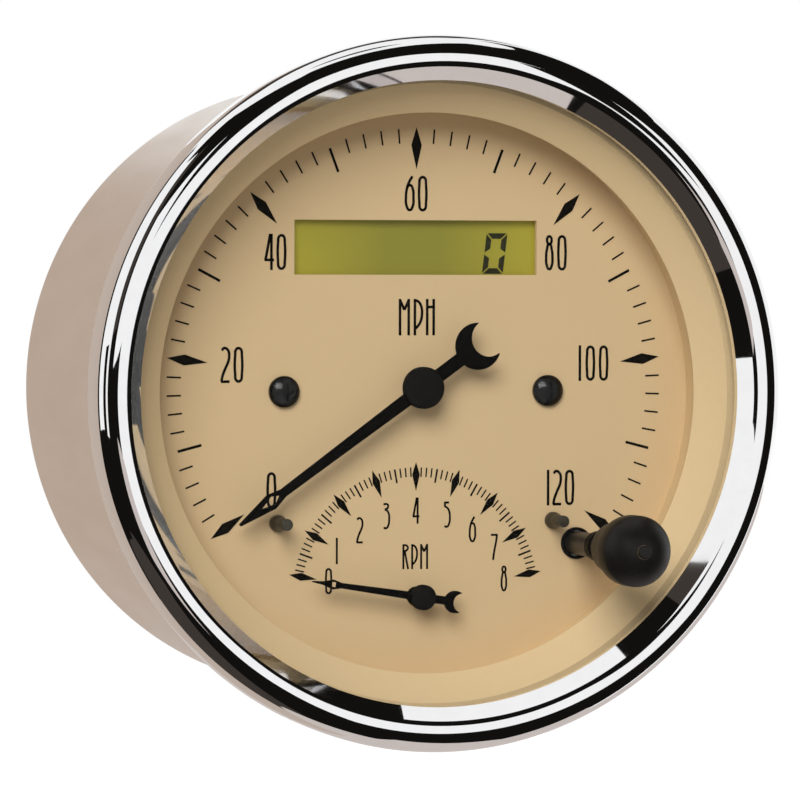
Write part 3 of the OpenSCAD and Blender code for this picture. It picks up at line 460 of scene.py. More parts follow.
def finish(name):
    """A two-tone finish of the table, made once. Its grain varies colour, roughness and surface."""
    if name in bpy.data.materials:
        return bpy.data.materials[name]
    base, tone, grain, rough, metal, bump, shine = FINISHES[name]
    base = base if base.startswith("#") else getattr(bpy.context.scene.gauge_colours, base)
    material, tree = blank(name)
    where = add_node(tree, "TexCoord")
    laid = add_node(tree, "Mapping", {
        "Vector": where.outputs["Object"], "Scale": STRETCH.get(name, (1, 1, 1))})
    noise = add_node(tree, "TexNoise", {
        "Vector": laid.outputs[0], "Scale": 1 / (grain * MM), "Detail": 4.0, "Roughness": 0.6})
    ramp = add_node(tree, "MapRange", {
        "Value": noise.outputs["Fac"], "From Min": 0.3, "From Max": 0.7})
    mix = add_node(tree, "Mix", {
        "Factor": ramp.outputs[0], "A": rgba(base), "B": rgba(tone)}, data_type="RGBA")
    dull = add_node(tree, "MapRange", {
        "Value": noise.outputs["Fac"], "From Min": 0.3, "From Max": 0.7,
        "To Min": rough[0], "To Max": rough[1]})
    inputs = {
        "Base Color": mix.outputs["Result"], "Roughness": dull.outputs[0], "Metallic": metal,
        "Specular IOR Level": shine, "Transmission Weight": CLEARNESS.get(name, 0)}
    if bump:
        lift = add_node(tree, "Bump", {
            "Height": noise.outputs["Fac"], "Distance": bump * MM, "Strength": 1.0})
        inputs["Normal"] = lift.outputs[0]
    surface = add_node(tree, "BsdfPrincipled", inputs)
    add_node(tree, "OutputMaterial", {"Surface": surface.outputs[0]})
    return material


def coated_acrylic():
    """Polished acrylic with a coating against mirror images, so that the dial shows clearly through it."""
    material, tree = blank("coated_acrylic")
    surface = add_node(tree, "BsdfPrincipled", {
        "Base Color": rgba("#FCFDFC"), "Roughness": 0.0, "IOR": COATED_IOR, "Transmission Weight": 1.0})
    add_node(tree, "OutputMaterial", {"Surface": surface.outputs[0]})
    return material


def lit_polariser():
    """Lit display under its polariser: olive green, yellower towards the ends, with an uneven shine."""
    dust = 0.8 * MM
    colours = bpy.context.scene.gauge_colours
    material, tree = blank("lit_polariser")
    where = add_node(tree, "TexCoord")
    parts = add_node(tree, "SeparateXYZ", {"Vector": where.outputs["Object"]})
    side = add_node(tree, "Math", {0: parts.outputs["X"]}, operation="ABSOLUTE")
    noise = add_node(tree, "TexNoise", {
        "Vector": where.outputs["Object"], "Scale": 1 / dust, "Detail": 3.0})
    ends = add_node(tree, "MapRange", {
        "Value": side.outputs[0], "From Min": 4 * MM, "From Max": 17 * MM})
    tint = add_node(tree, "Mix", {
        "Factor": ends.outputs[0], "A": rgba(colours.display), "B": rgba(colours.display_edge)},
        data_type="RGBA")
    dull = add_node(tree, "MapRange", {
        "Value": noise.outputs["Fac"], "From Min": 0.3, "From Max": 0.7, "To Min": 0.35, "To Max": 0.5})
    surface = add_node(tree, "BsdfPrincipled", {
        "Base Color": tint.outputs["Result"], "Roughness": dull.outputs[0], "Specular IOR Level": 0.2,
        "Emission Color": tint.outputs["Result"], "Emission Strength": 0.12})
    add_node(tree, "OutputMaterial", {"Surface": surface.outputs[0]})
    return material


def dress(piece, material):
    """Gives a piece one material."""
    piece.data.materials.clear()
    piece.data.materials.append(material)


def dress_node(node, material):
    """Gives a frame node that stays one material."""
    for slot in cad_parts[node].material_slots:
        slot.material = material


def fit(piece, body, slot, material, *nodes):
    """Hands a finished piece to the frame: its body, its finish and what it stands for. The slot argument is
    not used.
    """
    dress(piece, material)
    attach(piece, body)
    if nodes:
        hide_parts(*nodes)


def white_to_sight(tree):
    """A socket that is 1 for camera, glossy and transmission rays, and 0 for the light on the object."""
    path = add_node(tree, "LightPath")
    seen = add_node(tree, "Math", {
        0: path.outputs["Is Camera Ray"], 1: path.outputs["Is Glossy Ray"]}, operation="MAXIMUM")
    through = add_node(tree, "Math", {
        0: seen.outputs[0], 1: path.outputs["Is Transmission Ray"]}, operation="MAXIMUM")
    return through.outputs[0]


# The tent round the gauge, as its mirrors see it: cloths, and panels by their turns to the right of the
# gauge's own axis and their rises over the level, from and to, in degrees, with their share of the tent's
# reach. A later panel hangs in front of an earlier one, nearer by the gap's share.
PANEL_STEPS = 24
PANEL_GAP = 0.004
CLOTHS = {"black_cloth": "#131210", "dark_cloth": "#403A36", "white_panel": "#FFFFFF",
          "grey_table": "#CFC5C0", "warm_wall": "#C4B4A8"}
PANELS = (
    ("table_right", "grey_table", 97, 200, -90, -12, 1),
    ("table_edge", "grey_table", 80, 97, -90, -50, 1),
    ("table_front", "grey_table", 20, 80, -90, -64, 1),
    ("wall_left", "warm_wall", -180, -117, -90, 48, 1),
    ("table_left", "dark_cloth", -117, -30, -90, -29, 1),
    ("table_under", "grey_table", -180, 180, -90, -76, 1),
    ("strip_left", "black_cloth", -119, -108, -42, 52, 1),
    ("panel_left", "white_panel", -108, -60, 9, 50, 1),
    ("panel_foot", "white_panel", -108, -86, -8, 9, 1),
    ("panel_edge", "white_panel", -69, -60, -9, 9, 1),
    ("dim_left", "dark_cloth", -60, -44, 10, 48, 1),
    ("cloth_left", "black_cloth", -112, -78, -31, -8, 1),
    ("panel_top", "white_panel", -75, 75, 67, 80, 1),
    ("panel_rear", "white_panel", 60, 285, 62, 90, 1),
    ("panel_corner", "white_panel", -75, -20, 63, 80, 1),
    ("flag_back", "dark_cloth", 140, 220, 44, 62, 1),
    ("mouth", "white_panel", -9, 41, -18, 20, 1),
    ("panel_front", "white_panel", -38, -9, 3, 28, 1),
    ("panel_low", "grey_table", -24, -4, -22, -6, 1),
    ("flag_low", "black_cloth", -4, 13, -20, -10, 1),
    ("flag_high", "black_cloth", -9, 8, 12, 22, 1),
    ("flag_right", "black_cloth", 70, 128, 38, 62, 1),
    ("flag_near", "black_cloth", 27, 44, 20, 43, 0.15),
)


# The camera's sensor in mm, its clipping in metres, and the cuts across the floor
SENSOR_W = 36
CLIP_NEAR = 0.01
CLIP_FAR = 100
FLOOR_CUTS = 3


# Operators, one for the stage and one for each piece or group of like pieces

class MakeStage(Operator):
    """Sets the camera, the white surroundings, the key light, the floor and the tent that mirrors see"""
    bl_idname = "gauge.make_stage"
    bl_label = "Make stage"

    def execute(self, context):
        stage = context.scene.gauge_stage
        context.scene.view_settings.view_transform = "Standard"
        self.make_camera(context, stage)
        self.make_world(context, stage)
        self.make_lamp(stage)
        self.make_floor(stage)
        self.make_tent(stage)
        return {"FINISHED"}

    def make_camera(self, context, stage):
        """The camera at the photograph's viewing angle."""
        bpy.ops.object.camera_add(location=stage.camera_place, rotation=stage.camera_turn)
        camera = context.object
        camera.data.lens = stage.camera_lens
        camera.data.sensor_width = SENSOR_W
        camera.data.clip_start = CLIP_NEAR
        camera.data.clip_end = CLIP_FAR
        context.scene.camera = camera

    def make_world(self, context, stage):
        """White to sight, and an even fill light on the object."""
        world = bpy.data.worlds.new("white_room")
        world.use_nodes = True
        tree = world.node_tree
        tree.nodes.clear()
        fill = add_node(tree, "Background", {"Color": (1, 1, 1, 1), "Strength": stage.fill_light})
        white = add_node(tree, "Background", {"Color": (1, 1, 1, 1), "Strength": 1.0})
        mix = add_node(tree, "MixShader", {
            0: white_to_sight(tree), 1: fill.outputs[0], 2: white.outputs[0]})
        add_node(tree, "OutputWorld", {"Surface": mix.outputs[0]})
        context.scene.world = world

    def make_lamp(self, stage):
        """A soft key light from the upper left, with no mirror image of its own."""
        bpy.ops.object.light_add(type="SUN", rotation=stage.key_turn)
        lamp = bpy.context.object
        lamp.name = "key_light"
        lamp.data.energy = stage.key_light
        lamp.data.angle = stage.key_softness
        lamp.visible_glossy = False

    def make_floor(self, stage):
        """A pale floor that keeps the object's shadow."""
        floor = begin("floor", stage.floor_size, (0, 0, -stage.floor_drop))
        bpy.ops.mesh.subdivide(number_cuts=FLOOR_CUTS)
        close_up(recalculate=False)
        settle(floor)
        material, tree = blank("painted_floor")
        matt = add_node(tree, "BsdfDiffuse", {"Color": rgba(stage.floor_colour)})
        glow = add_node(tree, "Emission", {"Color": (1, 1, 1, 1), "Strength": stage.floor_glow})
        lit = add_node(tree, "AddShader", {0: matt.outputs[0], 1: glow.outputs[0]})
        mix = add_node(tree, "MixShader", {
            0: white_to_sight(tree), 1: matt.outputs[0], 2: lit.outputs[0]})
        add_node(tree, "OutputMaterial", {"Surface": mix.outputs[0]})
        dress(floor, material)
        return floor

    def make_tent(self, stage):
        """The tent that only mirrors see: a black hood, and the panels in it and round it."""
        cloths = {name: self.cloth(name, code) for name, code in CLOTHS.items()}
        axis = Vector((sin(stage.hood_turn), -cos(stage.hood_turn), 0))
        turns = [stage.hood_end * i / PANEL_STEPS for i in range(PANEL_STEPS + 1)]
        line = [(axis * cos(t) + Vector((0, 0, sin(t)))) * stage.tent_reach for t in turns]
        parts = [self.spread("hood", line, 2 * pi, axis, cloths["black_cloth"])]
        for name, cloth, left, right, low, high, near in PANELS:
            turn = radians(left)
            reach = stage.tent_reach * near * (1 - PANEL_GAP * len(parts))
            rises = [radians(low + (high - low) * i / PANEL_STEPS) for i in range(PANEL_STEPS + 1)]
            line = [Vector((sin(turn) * cos(t), -cos(turn) * cos(t), sin(t))) * reach for t in rises]
            parts.append(self.spread(name, line, radians(right - left), (0, 0, -1), cloths[cloth]))
        return parts

    def cloth(self, name, code):
        """A cloth or panel of the tent, with an even light of its own."""
        material, tree = blank(name)
        glow = add_node(tree, "Emission", {"Color": rgba(code), "Strength": 1.0})
        add_node(tree, "OutputMaterial", {"Surface": glow.outputs[0]})
        return material

    def spread(self, name, line, turn, axis, cloth):
        """One part of the tent: a line swept round an axis through the gauge."""
        part = drawn(name, line)
        bpy.ops.mesh.spin(steps=SMALL_STEPS, angle=turn, center=(0, 0, 0), axis=axis)
        close_up()
        smooth(part)
        dress(part, cloth)
        for rays in ("camera", "diffuse", "transmission", "shadow"):
            setattr(part, "visible_" + rays, False)
        return part


# Steps of the round stretches in the turned outlines
BEAD_STEPS = 56
DOME_STEPS = 22
BACK_STEPS = 16
HEM_STEPS = 14
FLOOR_STEPS = 12
EDGE_STEPS = 9
ROOT_STEPS = 8
ROUND_STEPS = 6
LIP_STEPS = 5


class MakeBezel(Operator):
    """Turns the chrome ring with its bead, its inner slope, its skirt and its rolled hem"""
    bl_idname = "gauge.make_bezel"
    bl_label = "Make bezel"

    def execute(self, context):
        size = context.scene.gauge_bezel
        outside = width("bezel") / 2
        foot = front("lens_gasket")
        bead_mid = outside - size.bead_r
        bead_z = foot + size.bead_rise
        bead_back = bead_z - size.bead_back
        inner = outside - size.face_w
        skirt = outside - size.bead_step
        skirt_in = skirt - size.skirt_t
        edge = size.edge_r
        crease = 90 + degrees(size.crease_turn)
        hem_in = skirt - size.hem_w
        outline = [(inner, foot), (inner, foot + size.lip_h)]
        outline += arc(bead_mid, bead_z, size.bead_r, crease, 0, BEAD_STEPS)
        outline += arc(outside - edge, bead_back + edge, edge, 0, -90, EDGE_STEPS)
        outline += arc(skirt + edge, bead_back - edge, edge, 90, 180, EDGE_STEPS)
        outline += arc(skirt - size.hem_r, size.hem_r, size.hem_r, 0, -90, HEM_STEPS)
        outline += [(hem_in, 0), (hem_in, size.hem_t), (skirt_in, size.hem_t), (skirt_in, foot)]
        ring = turned("bezel_ring", outline, limit=CREASE_ANGLE)
        fit(ring, "housing", "chrome", finish("chrome_plating"), "bezel")
        return {"FINISHED"}


# How far a cutter runs past what it cuts
PAST = 1 * MM


class MakeCase(Operator):
    """Turns the drawn case with its flange and cuts the holes in its back"""
    bl_idname = "gauge.make_case"
    bl_label = "Make case"

    def execute(self, context):
        size = context.scene.gauge_case
        flange = width("case_cup") / 2
        outside = flange - size.flange_w
        inside = outside - size.wall
        mouth = front("case_cup")
        rear = back("case_cup")
        floor = rear + size.wall
        neck = mouth - size.wall
        inner_r = size.back_r - size.wall
        outline = [(0, rear)]
        outline += arc(outside - size.back_r, rear + size.back_r, size.back_r, -90, 0, BACK_STEPS)
        outline += arc(outside + size.root_r, neck - size.root_r, size.root_r, 180, 90, ROOT_STEPS)
        outline += [(flange, neck), (flange, mouth), (inside, mouth)]
        outline += arc(inside - inner_r, floor + inner_r, inner_r, 0, -90, FLOOR_STEPS)
        outline += [(0, floor)]
        shell = turned("case_shell", outline)
        drilled(shell, self.cutters(size, rear, floor))
        fit(shell, "housing", "satin_steel", finish("satin_zinc_plating"), "case_cup")
        return {"FINISHED"}

    def cutters(self, size, rear, floor):
        """Rods and a block through the back for the studs, the lamp sockets and the terminals."""
        low, high = rear - PAST, floor + PAST
        stud, studs = pair("mounting_studs")
        bulb, lamps = pair("lamp_bulbs")[0], pair("lamp_sockets")[1]
        cutters = [rod("stud_hole", stud + size.stud_gap, low, high, spot) for spot in studs]
        neck = bulb + size.socket_wall + size.socket_gap
        cutters += [rod("lamp_hole", neck, low, high, spot) for spot in lamps]
        near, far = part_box("terminal_base")
        inset = size.terminal_step - size.terminal_gap
        corners = oblong(near.x + inset, far.x - inset, near.z + inset, far.z - inset)
        return cutters + [plate("terminal_hole", corners, low, high - low)]


# Room round the button's shaft in the lens
LENS_HOLE_GAP = 0.4 * MM


class MakeLens(Operator):
    """Turns the flat lens with its eased edges and drills it for the button's shaft"""
    bl_idname = "gauge.make_lens"
    bl_label = "Make lens"

    def execute(self, context):
        outside = width("lens") / 2
        low, high = back("lens"), front("lens")
        ease = 0.15 * MM
        outline = [(0, low), (outside - ease, low), (outside, low + ease), (outside, high - ease),
                   (outside - ease, high), (0, high)]
        glass = turned("lens_glass", outline)
        hole = width("reset_shaft") / 2 + LENS_HOLE_GAP
        drilled(glass, [rod("shaft_hole", hole, low - PAST, high + PAST, middle("reset_shaft"))])
        fit(glass, "housing", "clear_lens", coated_acrylic(), "lens")
        # The clear lens keeps no light from the dial
        glass.visible_shadow = False
        glass.visible_diffuse = False
        return {"FINISHED"}


class MakeShroud(Operator):
    """Turns the beige ring that hides the edge of the dial"""
    bl_idname = "gauge.make_shroud"
    bl_label = "Make shroud"

    def execute(self, context):
        outside = width("shroud_ring") / 2
        low, high = back("shroud_ring"), front("shroud_ring")
        wall = 1.2 * MM
        inner, inner_z = 37.2 * MM, 1.95 * MM
        rim = 41 * MM
        edge = 0.12 * MM
        foot = 38.5 * MM
        lip_from, lip_to = 190, 120
        flange = front("case_cup")
        outline = [(foot, low), (foot, inner_z - wall)]
        outline += [(inner + edge, inner_z - wall / 2)]
        outline += arc(inner + edge, inner_z - edge / 2, edge, lip_from, lip_to, LIP_STEPS)
        outline += [(rim - edge, high - edge), (rim, high), (outside, high), (outside, flange)]
        outline += [(outside - wall, flange), (outside - wall, high - wall)]
        outline += [(rim, high - wall), (foot + wall, inner_z - wall), (foot + wall, low)]
        ring = turned("shroud_trim", outline)
        fit(ring, "housing", "beige_shroud", finish("moulded_beige_abs"), "shroud_ring")
        return {"FINISHED"}


# Each figure's width as a share of its height, and its strokes by shares of its width from the left and of
# its height from the top. A smooth stroke runs through its points in one curve, a straight one has corners,
# and a loop joins its ends.
GLYPHS = {
    "0": (0.265, [("loop", [(.5, .04), (.78, .085), (.86, .22), (.86, .78), (.78, .915), (.5, .96),
                            (.22, .915), (.14, .78), (.14, .22), (.22, .085)])]),
    "1": (0.265, [("straight", [(.5, 0), (.5, 1)])]),
    "2": (0.28, [("smooth", [(.12, .10), (.38, .037), (.74, .09), (.88, .24), (.8, .4), (.54, .57),
                             (.26, .76), (.12, .92), (.11, .965)]),
                 ("straight", [(.04, .965), (.92, .965)])]),
    "3": (0.29, [("smooth", [(.1, .06), (.4, .035), (.68, .065), (.74, .135), (.6, .21), (.28, .25)]),
                 ("smooth", [(.28, .245), (.62, .3), (.84, .43), (.88, .64), (.76, .86), (.46, .965),
                             (.12, .94)])]),
    "4": (0.28, [("straight", [(.74, 0), (.74, 1)]), ("straight", [(.62, 0), (.13, .72)]),
                 ("straight", [(.02, .72), (1, .72)])]),
    "5": (0.27, [("straight", [(.02, .038), (.76, .038)]), ("straight", [(.14, .038), (.14, .2)]),
                 ("smooth", [(.14, .185), (.55, .26), (.82, .42), (.88, .6), (.76, .85), (.44, .965),
                             (.06, .945)])]),
    "6": (0.295, [("smooth", [(.76, .02), (.46, .17), (.22, .36), (.13, .6), (.2, .85), (.5, .96), (.8, .85),
                              (.87, .6), (.8, .37), (.56, .265), (.3, .3)])]),
    "7": (0.275, [("straight", [(0, .038), (.97, .038)]),
                  ("smooth", [(.9, .038), (.74, .33), (.48, .68), (.32, 1)])]),
    "8": (0.26, [("loop", [(.5, .04), (.76, .13), (.5, .255), (.24, .13)]),
                 ("loop", [(.5, .26), (.78, .42), (.86, .64), (.78, .86), (.5, .96), (.22, .86), (.14, .64),
                           (.22, .42)])]),
    "M": (0.33, [("straight", [(.12, 0), (.12, 1)]), ("straight", [(.88, 0), (.88, 1)]),
                 ("straight", [(.1, .02), (.5, .3)]), ("straight", [(.9, .02), (.5, .3)])]),
    "P": (0.275, [("straight", [(.14, 0), (.14, 1)]),
                  ("smooth", [(.06, .03), (.5, .075), (.82, .22), (.88, .42), (.72, .63), (.4, .76),
                              (.14, .82)])]),
    "H": (0.26, [("straight", [(.14, 0), (.14, 1)]), ("straight", [(.86, 0), (.86, 1)]),
                 ("straight", [(.1, .22), (.9, .22)])]),
    "R": (0.27, [("straight", [(.14, 0), (.14, 1)]),
                 ("smooth", [(.1, .04), (.56, .045), (.84, .14), (.56, .255), (.2, .275)]),
                 ("straight", [(.34, .27), (.88, 1)])]),
}


# Where the figures stand, in mm right and up from their spindle's middle or, for the units, the dial's
FIGURES = {
    "speed_numbers": (
        ("2", -26.5, 3.1), ("0", -24.7, 3.1), ("4", -20.5, 18.05), ("0", -18.8, 18.05), ("6", -0.95, 25.9),
        ("0", 0.87, 25.9), ("8", 18.8, 18.05), ("0", 20.6, 18.05), ("1", 23.2, 3.17), ("0", 24.7, 3.17),
        ("0", 26.6, 3.17), ("1", 18.7, -13.6), ("2", 20, -13.6), ("0", 21.75, -13.6), ("0", -20.15, -13.56)),
    "engine_numbers": (
        ("0", -12.2, 2.19), ("1", -11.06, 6.2), ("2", -7.86, 8.93), ("3", -4.14, 10.77), ("4", 0, 11.46),
        ("5", 4.42, 10.88), ("6", 7.97, 8.86), ("7", 11.07, 6.46), ("8", 12.44, 2.18)),
    "speed_unit": (("M", -1.67, 10.04), ("P", 0.29, 10.04), ("H", 1.99, 10.04)),
    "engine_unit": (("R", -1.43, -22), ("P", -0.19, -22), ("M", 1.16, -22)),
}
# The marks of a scale: its spans from number to number, the parts of a span, and in mm the inset from the
# scale's radius, the length and the width of its short and of its long strokes, and the inset, the reach
# outwards, the reach inwards and the width of its kites
MARKS = {
    "speed_scale": (6, 10, (0, 1.95, 0.23), (1.2, 3.36, 0.36), (1.24, 2.41, 3.21, 1.47)),
    "engine_scale": (8, 8, (0, 1.26, 0.19), (0.3, 1.86, 0.24), (0.33, 1.66, 2.22, 1.07)),
}
CURVE_STEPS = 6


def empty_curve(name):
    """A new curve object without any line yet."""
    bpy.ops.curve.primitive_nurbs_path_add()
    piece = bpy.context.object
    piece.name = name
    piece.data.splines.clear()
    return piece


def ribbon_section(stroke, thickness):
    """The flat cross-section of a printed stroke, as a curve for others to be drawn with."""
    section = empty_curve("ink_section")
    section.data.dimensions = "2D"
    line = section.data.splines.new("POLY")
    corners = oblong(-stroke / 2, stroke / 2, 0, thickness)
    line.points.add(len(corners) - 1)
    for point, (across, up) in zip(line.points, corners):
        point.co = (across, up, 0, 1)
    line.use_cyclic_u = True
    return section


def printed(name, middle_x, middle_y, height, stroke, thickness):
    """The figures of one name on the dial, drawn as ribbons and made one mesh."""
    section = ribbon_section(stroke, thickness)
    piece = empty_curve(name)
    curve = piece.data
    curve.dimensions = "3D"
    curve.twist_mode = "Z_UP"
    curve.bevel_mode = "OBJECT"
    curve.bevel_object = section
    curve.use_fill_caps = True
    curve.resolution_u = CURVE_STEPS
    for figure, right, up in FIGURES[name]:
        ratio, strokes = GLYPHS[figure]
        left = middle_x + right * MM - ratio * height / 2
        top = middle_y + up * MM + height / 2
        for kind, points in strokes:
            line = curve.splines.new("BEZIER")
            line.bezier_points.add(len(points) - 1)
            line.use_cyclic_u = kind == "loop"
            for knot, (across, down) in zip(line.bezier_points, points):
                knot.co = (left + across * ratio * height, top - down * height, 0)
                knot.handle_left_type = "VECTOR" if kind == "straight" else "AUTO"
                knot.handle_right_type = knot.handle_left_type
    bpy.context.view_layer.update()
    bpy.ops.object.convert(target="MESH")
    piece = bpy.context.object
    piece.data.name = name
    piece.rotation_euler = (pi / 2, 0, 0)
    piece.location = place(0, 0, front("dial_plate"))
    settle(piece)
    open_up(piece)
    close_up()
    bpy.data.objects.remove(section)
    return piece


def marks(corners, radius, centre, start, step, count, thickness):
    """A mark on the dial, by its corners in mm, set at its first angle and spun on clockwise."""
    x, y = centre
    spots = [(x + radius + out * MM, y + up * MM) for out, up in corners]
    piece = plate("mark", spots, front("dial_plate"), thickness)
    open_up(piece)
    spindle = place(x, y, 0)
    bpy.ops.transform.rotate(value=start, orient_axis="Y", center_override=spindle)
    bpy.ops.mesh.spin(
        steps=count - 1, dupli=True, angle=-step * (count - 1), center=spindle, axis=(0, 1, 0))
    bpy.ops.object.mode_set(mode="OBJECT")
    return piece


def scale(name, radius, centre, start, step, thickness):
    """A scale: a kite at each number, a long stroke halfway on, and short ones at the other parts."""
    spans, cuts, short, long, kite = MARKS[name]
    parts = []
    for i in range(1, cuts):
        inset, reach, wide = long if 2 * i == cuts else short
        corners = oblong(-reach / 2 - inset, reach / 2 - inset, -wide / 2, wide / 2)
        parts.append(marks(corners, radius, centre, start - step * i / cuts, step, spans, thickness))
    inset, outward, inward, wide = kite
    corners = [(outward - inset, 0), (-inset, wide / 2), (-inward - inset, 0), (-inset, -wide / 2)]
    parts.append(marks(corners, radius, centre, start, step, spans + 1, thickness))
    return joined(name, parts)


class PrintDial(Operator):
    """Prints both scales, their numbers and the two units on the dial"""
    bl_idname = "gauge.print_dial"
    bl_label = "Print dial"

    def execute(self, context):
        ink = context.scene.gauge_print
        speed, engine = middle("speedo_spindle"), middle("tach_spindle")
        pieces = [
            scale("speed_scale", ink.speedo_r, speed, ink.speedo_start, ink.speedo_step, ink.ink_t),
            scale("engine_scale", ink.tach_r, engine, ink.tach_start, ink.tach_step, ink.ink_t),
            printed("speed_numbers", *speed, ink.number_h, ink.number_w, ink.ink_t),
            printed("engine_numbers", *engine, ink.small_number_h, ink.small_number_w, ink.ink_t),
            joined("dial_units", [
                printed("speed_unit", 0, 0, ink.unit_h, ink.number_w, ink.ink_t),
                printed("engine_unit", 0, 0, ink.small_unit_h, ink.small_number_w, ink.ink_t)]),
        ]
        for piece in pieces:
            fit(piece, "housing", "black_paint", finish("screen_printed_ink"))
        dress_node("dial_plate", finish("sprayed_dial_enamel"))
        return {"FINISHED"}


class MakeDisplay(Operator):
    """Finishes the lit display behind the window and sets the digit on it"""
    bl_idname = "gauge.make_display"
    bl_label = "Make display"

    def execute(self, context):
        low = front("lcd_panel")
        left, right, top, bottom = 9.63 * MM, 13.26 * MM, 21.31 * MM, 15.85 * MM
        bar, gap, notch, cut = 0.76 * MM, 0.12 * MM, 0.14 * MM, 0.5 * MM
        lean, thickness = 0.125, 0.03 * MM
        x_mid, y_mid = (left + right) / 2, (top + bottom) / 2
        h = (top - bottom) / 2
        w = (right - left) / 2 - lean * h
        level = [(gap - w, h), (w - gap, h), (w - bar - gap, h - bar), (bar + gap - w, h - bar)]
        upright = [(w, h - gap), (w, notch), (w - bar, notch + cut), (w - bar, h - bar - gap)]
        segments = []
        for corners, sides in ((level, ((1, 1), (1, -1))), (upright, ((1, 1), (-1, 1), (1, -1), (-1, -1)))):
            for across, up in sides:
                slanted = [(x_mid + across * x + lean * up * y, y_mid + up * y) for x, y in corners]
                segments.append(plate("segment", slanted, low, thickness))
        digit = joined("display_digit", segments)
        fit(digit, "housing", "display_glass", finish("dark_segment"))
        dress_node("lcd_panel", lit_polariser())
        return {"FINISHED"}


class MakePointers(Operator):
    """Finishes both pointers and their hub caps, with their stamped edges eased"""
    bl_idname = "gauge.make_pointers"
    bl_label = "Make pointers"

    def execute(self, context):
        for gauge, edge in (("speedo", 0.1 * MM), ("tach", 0.07 * MM)):
            body = gauge + "_rotor"
            hand = softened(gauge + "_hand", gauge + "_pointer", edge)
            fit(hand, body, "black_paint", finish("satin_black_paint"), gauge + "_pointer")
            fit(self.cap(gauge), body, "black_plastic", finish("moulded_black_nylon"), gauge + "_hub_cap")
        return {"FINISHED"}

    def cap(self, gauge):
        """The round cap over a pointer, slightly crowned, with its sleeve."""
        node = gauge + "_hub_cap"
        disc = width(node) / 2
        top = front(node)
        under = front(gauge + "_pointer")
        foot = back(node)
        sleeve, press_gap = 1.19 * MM, 0.01 * MM
        bore = width(gauge + "_spindle") / 2 + press_gap
        end = front(gauge + "_spindle")
        round_r, round_from = 0.3 * MM, 80
        half_drop, edge_drop = 0.03 * MM, 0.08 * MM
        outline = [(0, top), (disc / 2, top - half_drop)]
        outline += arc(disc - round_r, top - edge_drop - round_r, round_r, round_from, 0, ROUND_STEPS)
        outline += [(disc, under), (sleeve, under), (sleeve, foot), (bore, foot), (bore, end), (0, end)]
        return turned(gauge + "_cap", outline, middle(gauge + "_spindle"), MIDDLE_STEPS)


class MakeButton(Operator):
    """Turns the push button's knob and its shaft"""
    bl_idname = "gauge.make_button"
    bl_label = "Make button"

    def execute(self, context):
        centre = middle("reset_shaft")
        plastic = finish("moulded_black_knob")
        rim, top = back("reset_knob"), front("reset_knob")
        head = width("reset_knob") / 2
        collar, collar_l, side_l = 3.45 * MM, 6.2 * MM, 2.4 * MM
        nub, nub_edge, dome_h, shoulder = 0.95 * MM, 0.2 * MM, 2.8 * MM, 0.8 * MM
        shaft = width("reset_shaft") / 2
        shaft_top = front("reset_shaft")
        head_z = rim + collar_l
        dome_z = head_z + side_l
        dome_r = (head * head + dome_h * dome_h) / (2 * dome_h)
        dome_mid = dome_z + dome_h - dome_r
        nub_z = dome_mid + sqrt(dome_r * dome_r - nub * nub)
        edge, stem_edge = 0.35 * MM, 0.08 * MM
        outline = [(0, shaft_top), (shaft, shaft_top), (shaft, rim + edge / 2), (shaft + edge / 2, rim)]
        outline += arc(collar - edge, rim + edge, edge, -90, 0, ROUND_STEPS)
        outline += [(collar, head_z - shoulder)]
        outline += arc(head - shoulder, head_z, shoulder, -90, 0, ROOT_STEPS)
        outline += arc(0, dome_mid, dome_r, degrees(atan2(dome_z - dome_mid, head)),
                       degrees(atan2(nub_z - dome_mid, nub)), DOME_STEPS)
        outline += arc(nub - nub_edge, top - nub_edge, nub_edge, 0, 90, LIP_STEPS)
        outline += [(0, top)]
        knob = turned("button_knob", outline, centre, MIDDLE_STEPS)
        fit(knob, "reset_button", "knob_plastic", plastic, "reset_knob")
        stem = softened("button_shaft", "reset_shaft", stem_edge)
        fit(stem, "reset_button", "knob_plastic", plastic, "reset_shaft")
        # The tent stands for what the ring mirrors, so the button stays out of the ring's mirror image
        knob.visible_glossy = False
        stem.visible_glossy = False
        fit(self.bush_and_shade_lining(centre, shaft), "housing", "black_plastic", finish("moulded_black_nylon"))
        return {"FINISHED"}

    def bush_and_shade_lining(self, centre, shaft):
        """The black collar round the shaft on the dial, and a thin black lining of the lens's hole that
        paints shade over the hole's wall, so that the wall shows no bright mirror image.
        """
        slide_gap, press = 0.1 * MM, 0.02 * MM
        bore = shaft + slide_gap
        collar, collar_h = 2.15 * MM, 0.35 * MM
        # The lining's black is painted shade: it darkens the wall of the lens's hole, which would otherwise
        # mirror the lit dial
        shade_lining, shade_lining_end = shaft + LENS_HOLE_GAP + press, 0.05 * MM
        dial = front("dial_plate")
        rings = ((collar, dial, dial + collar_h),
                 (shade_lining, back("lens") - shade_lining_end, front("lens") + shade_lining_end))
        return joined("shaft_bushes", [
            turned("bush", [(bore, low), (r, low), (r, high), (bore, high)], centre, SMALL_STEPS)
            for r, low, high in rings])


class MakeDialFittings(Operator):
    """Finishes the dial screws with their cross recess and the pointer stops"""
    bl_idname = "gauge.make_dial_fittings"
    bl_label = "Make dial fittings"

    def execute(self, context):
        for name, node, edge, black in (
                ("dial_screw_heads", "dial_screws", 0.06 * MM, "blackened_steel"),
                ("pointer_stops", "stop_pins", 0.1 * MM, "moulded_stop_nylon")):
            fit(softened(name, node, edge), "housing", "black_paint", finish(black), node)
        return {"FINISHED"}


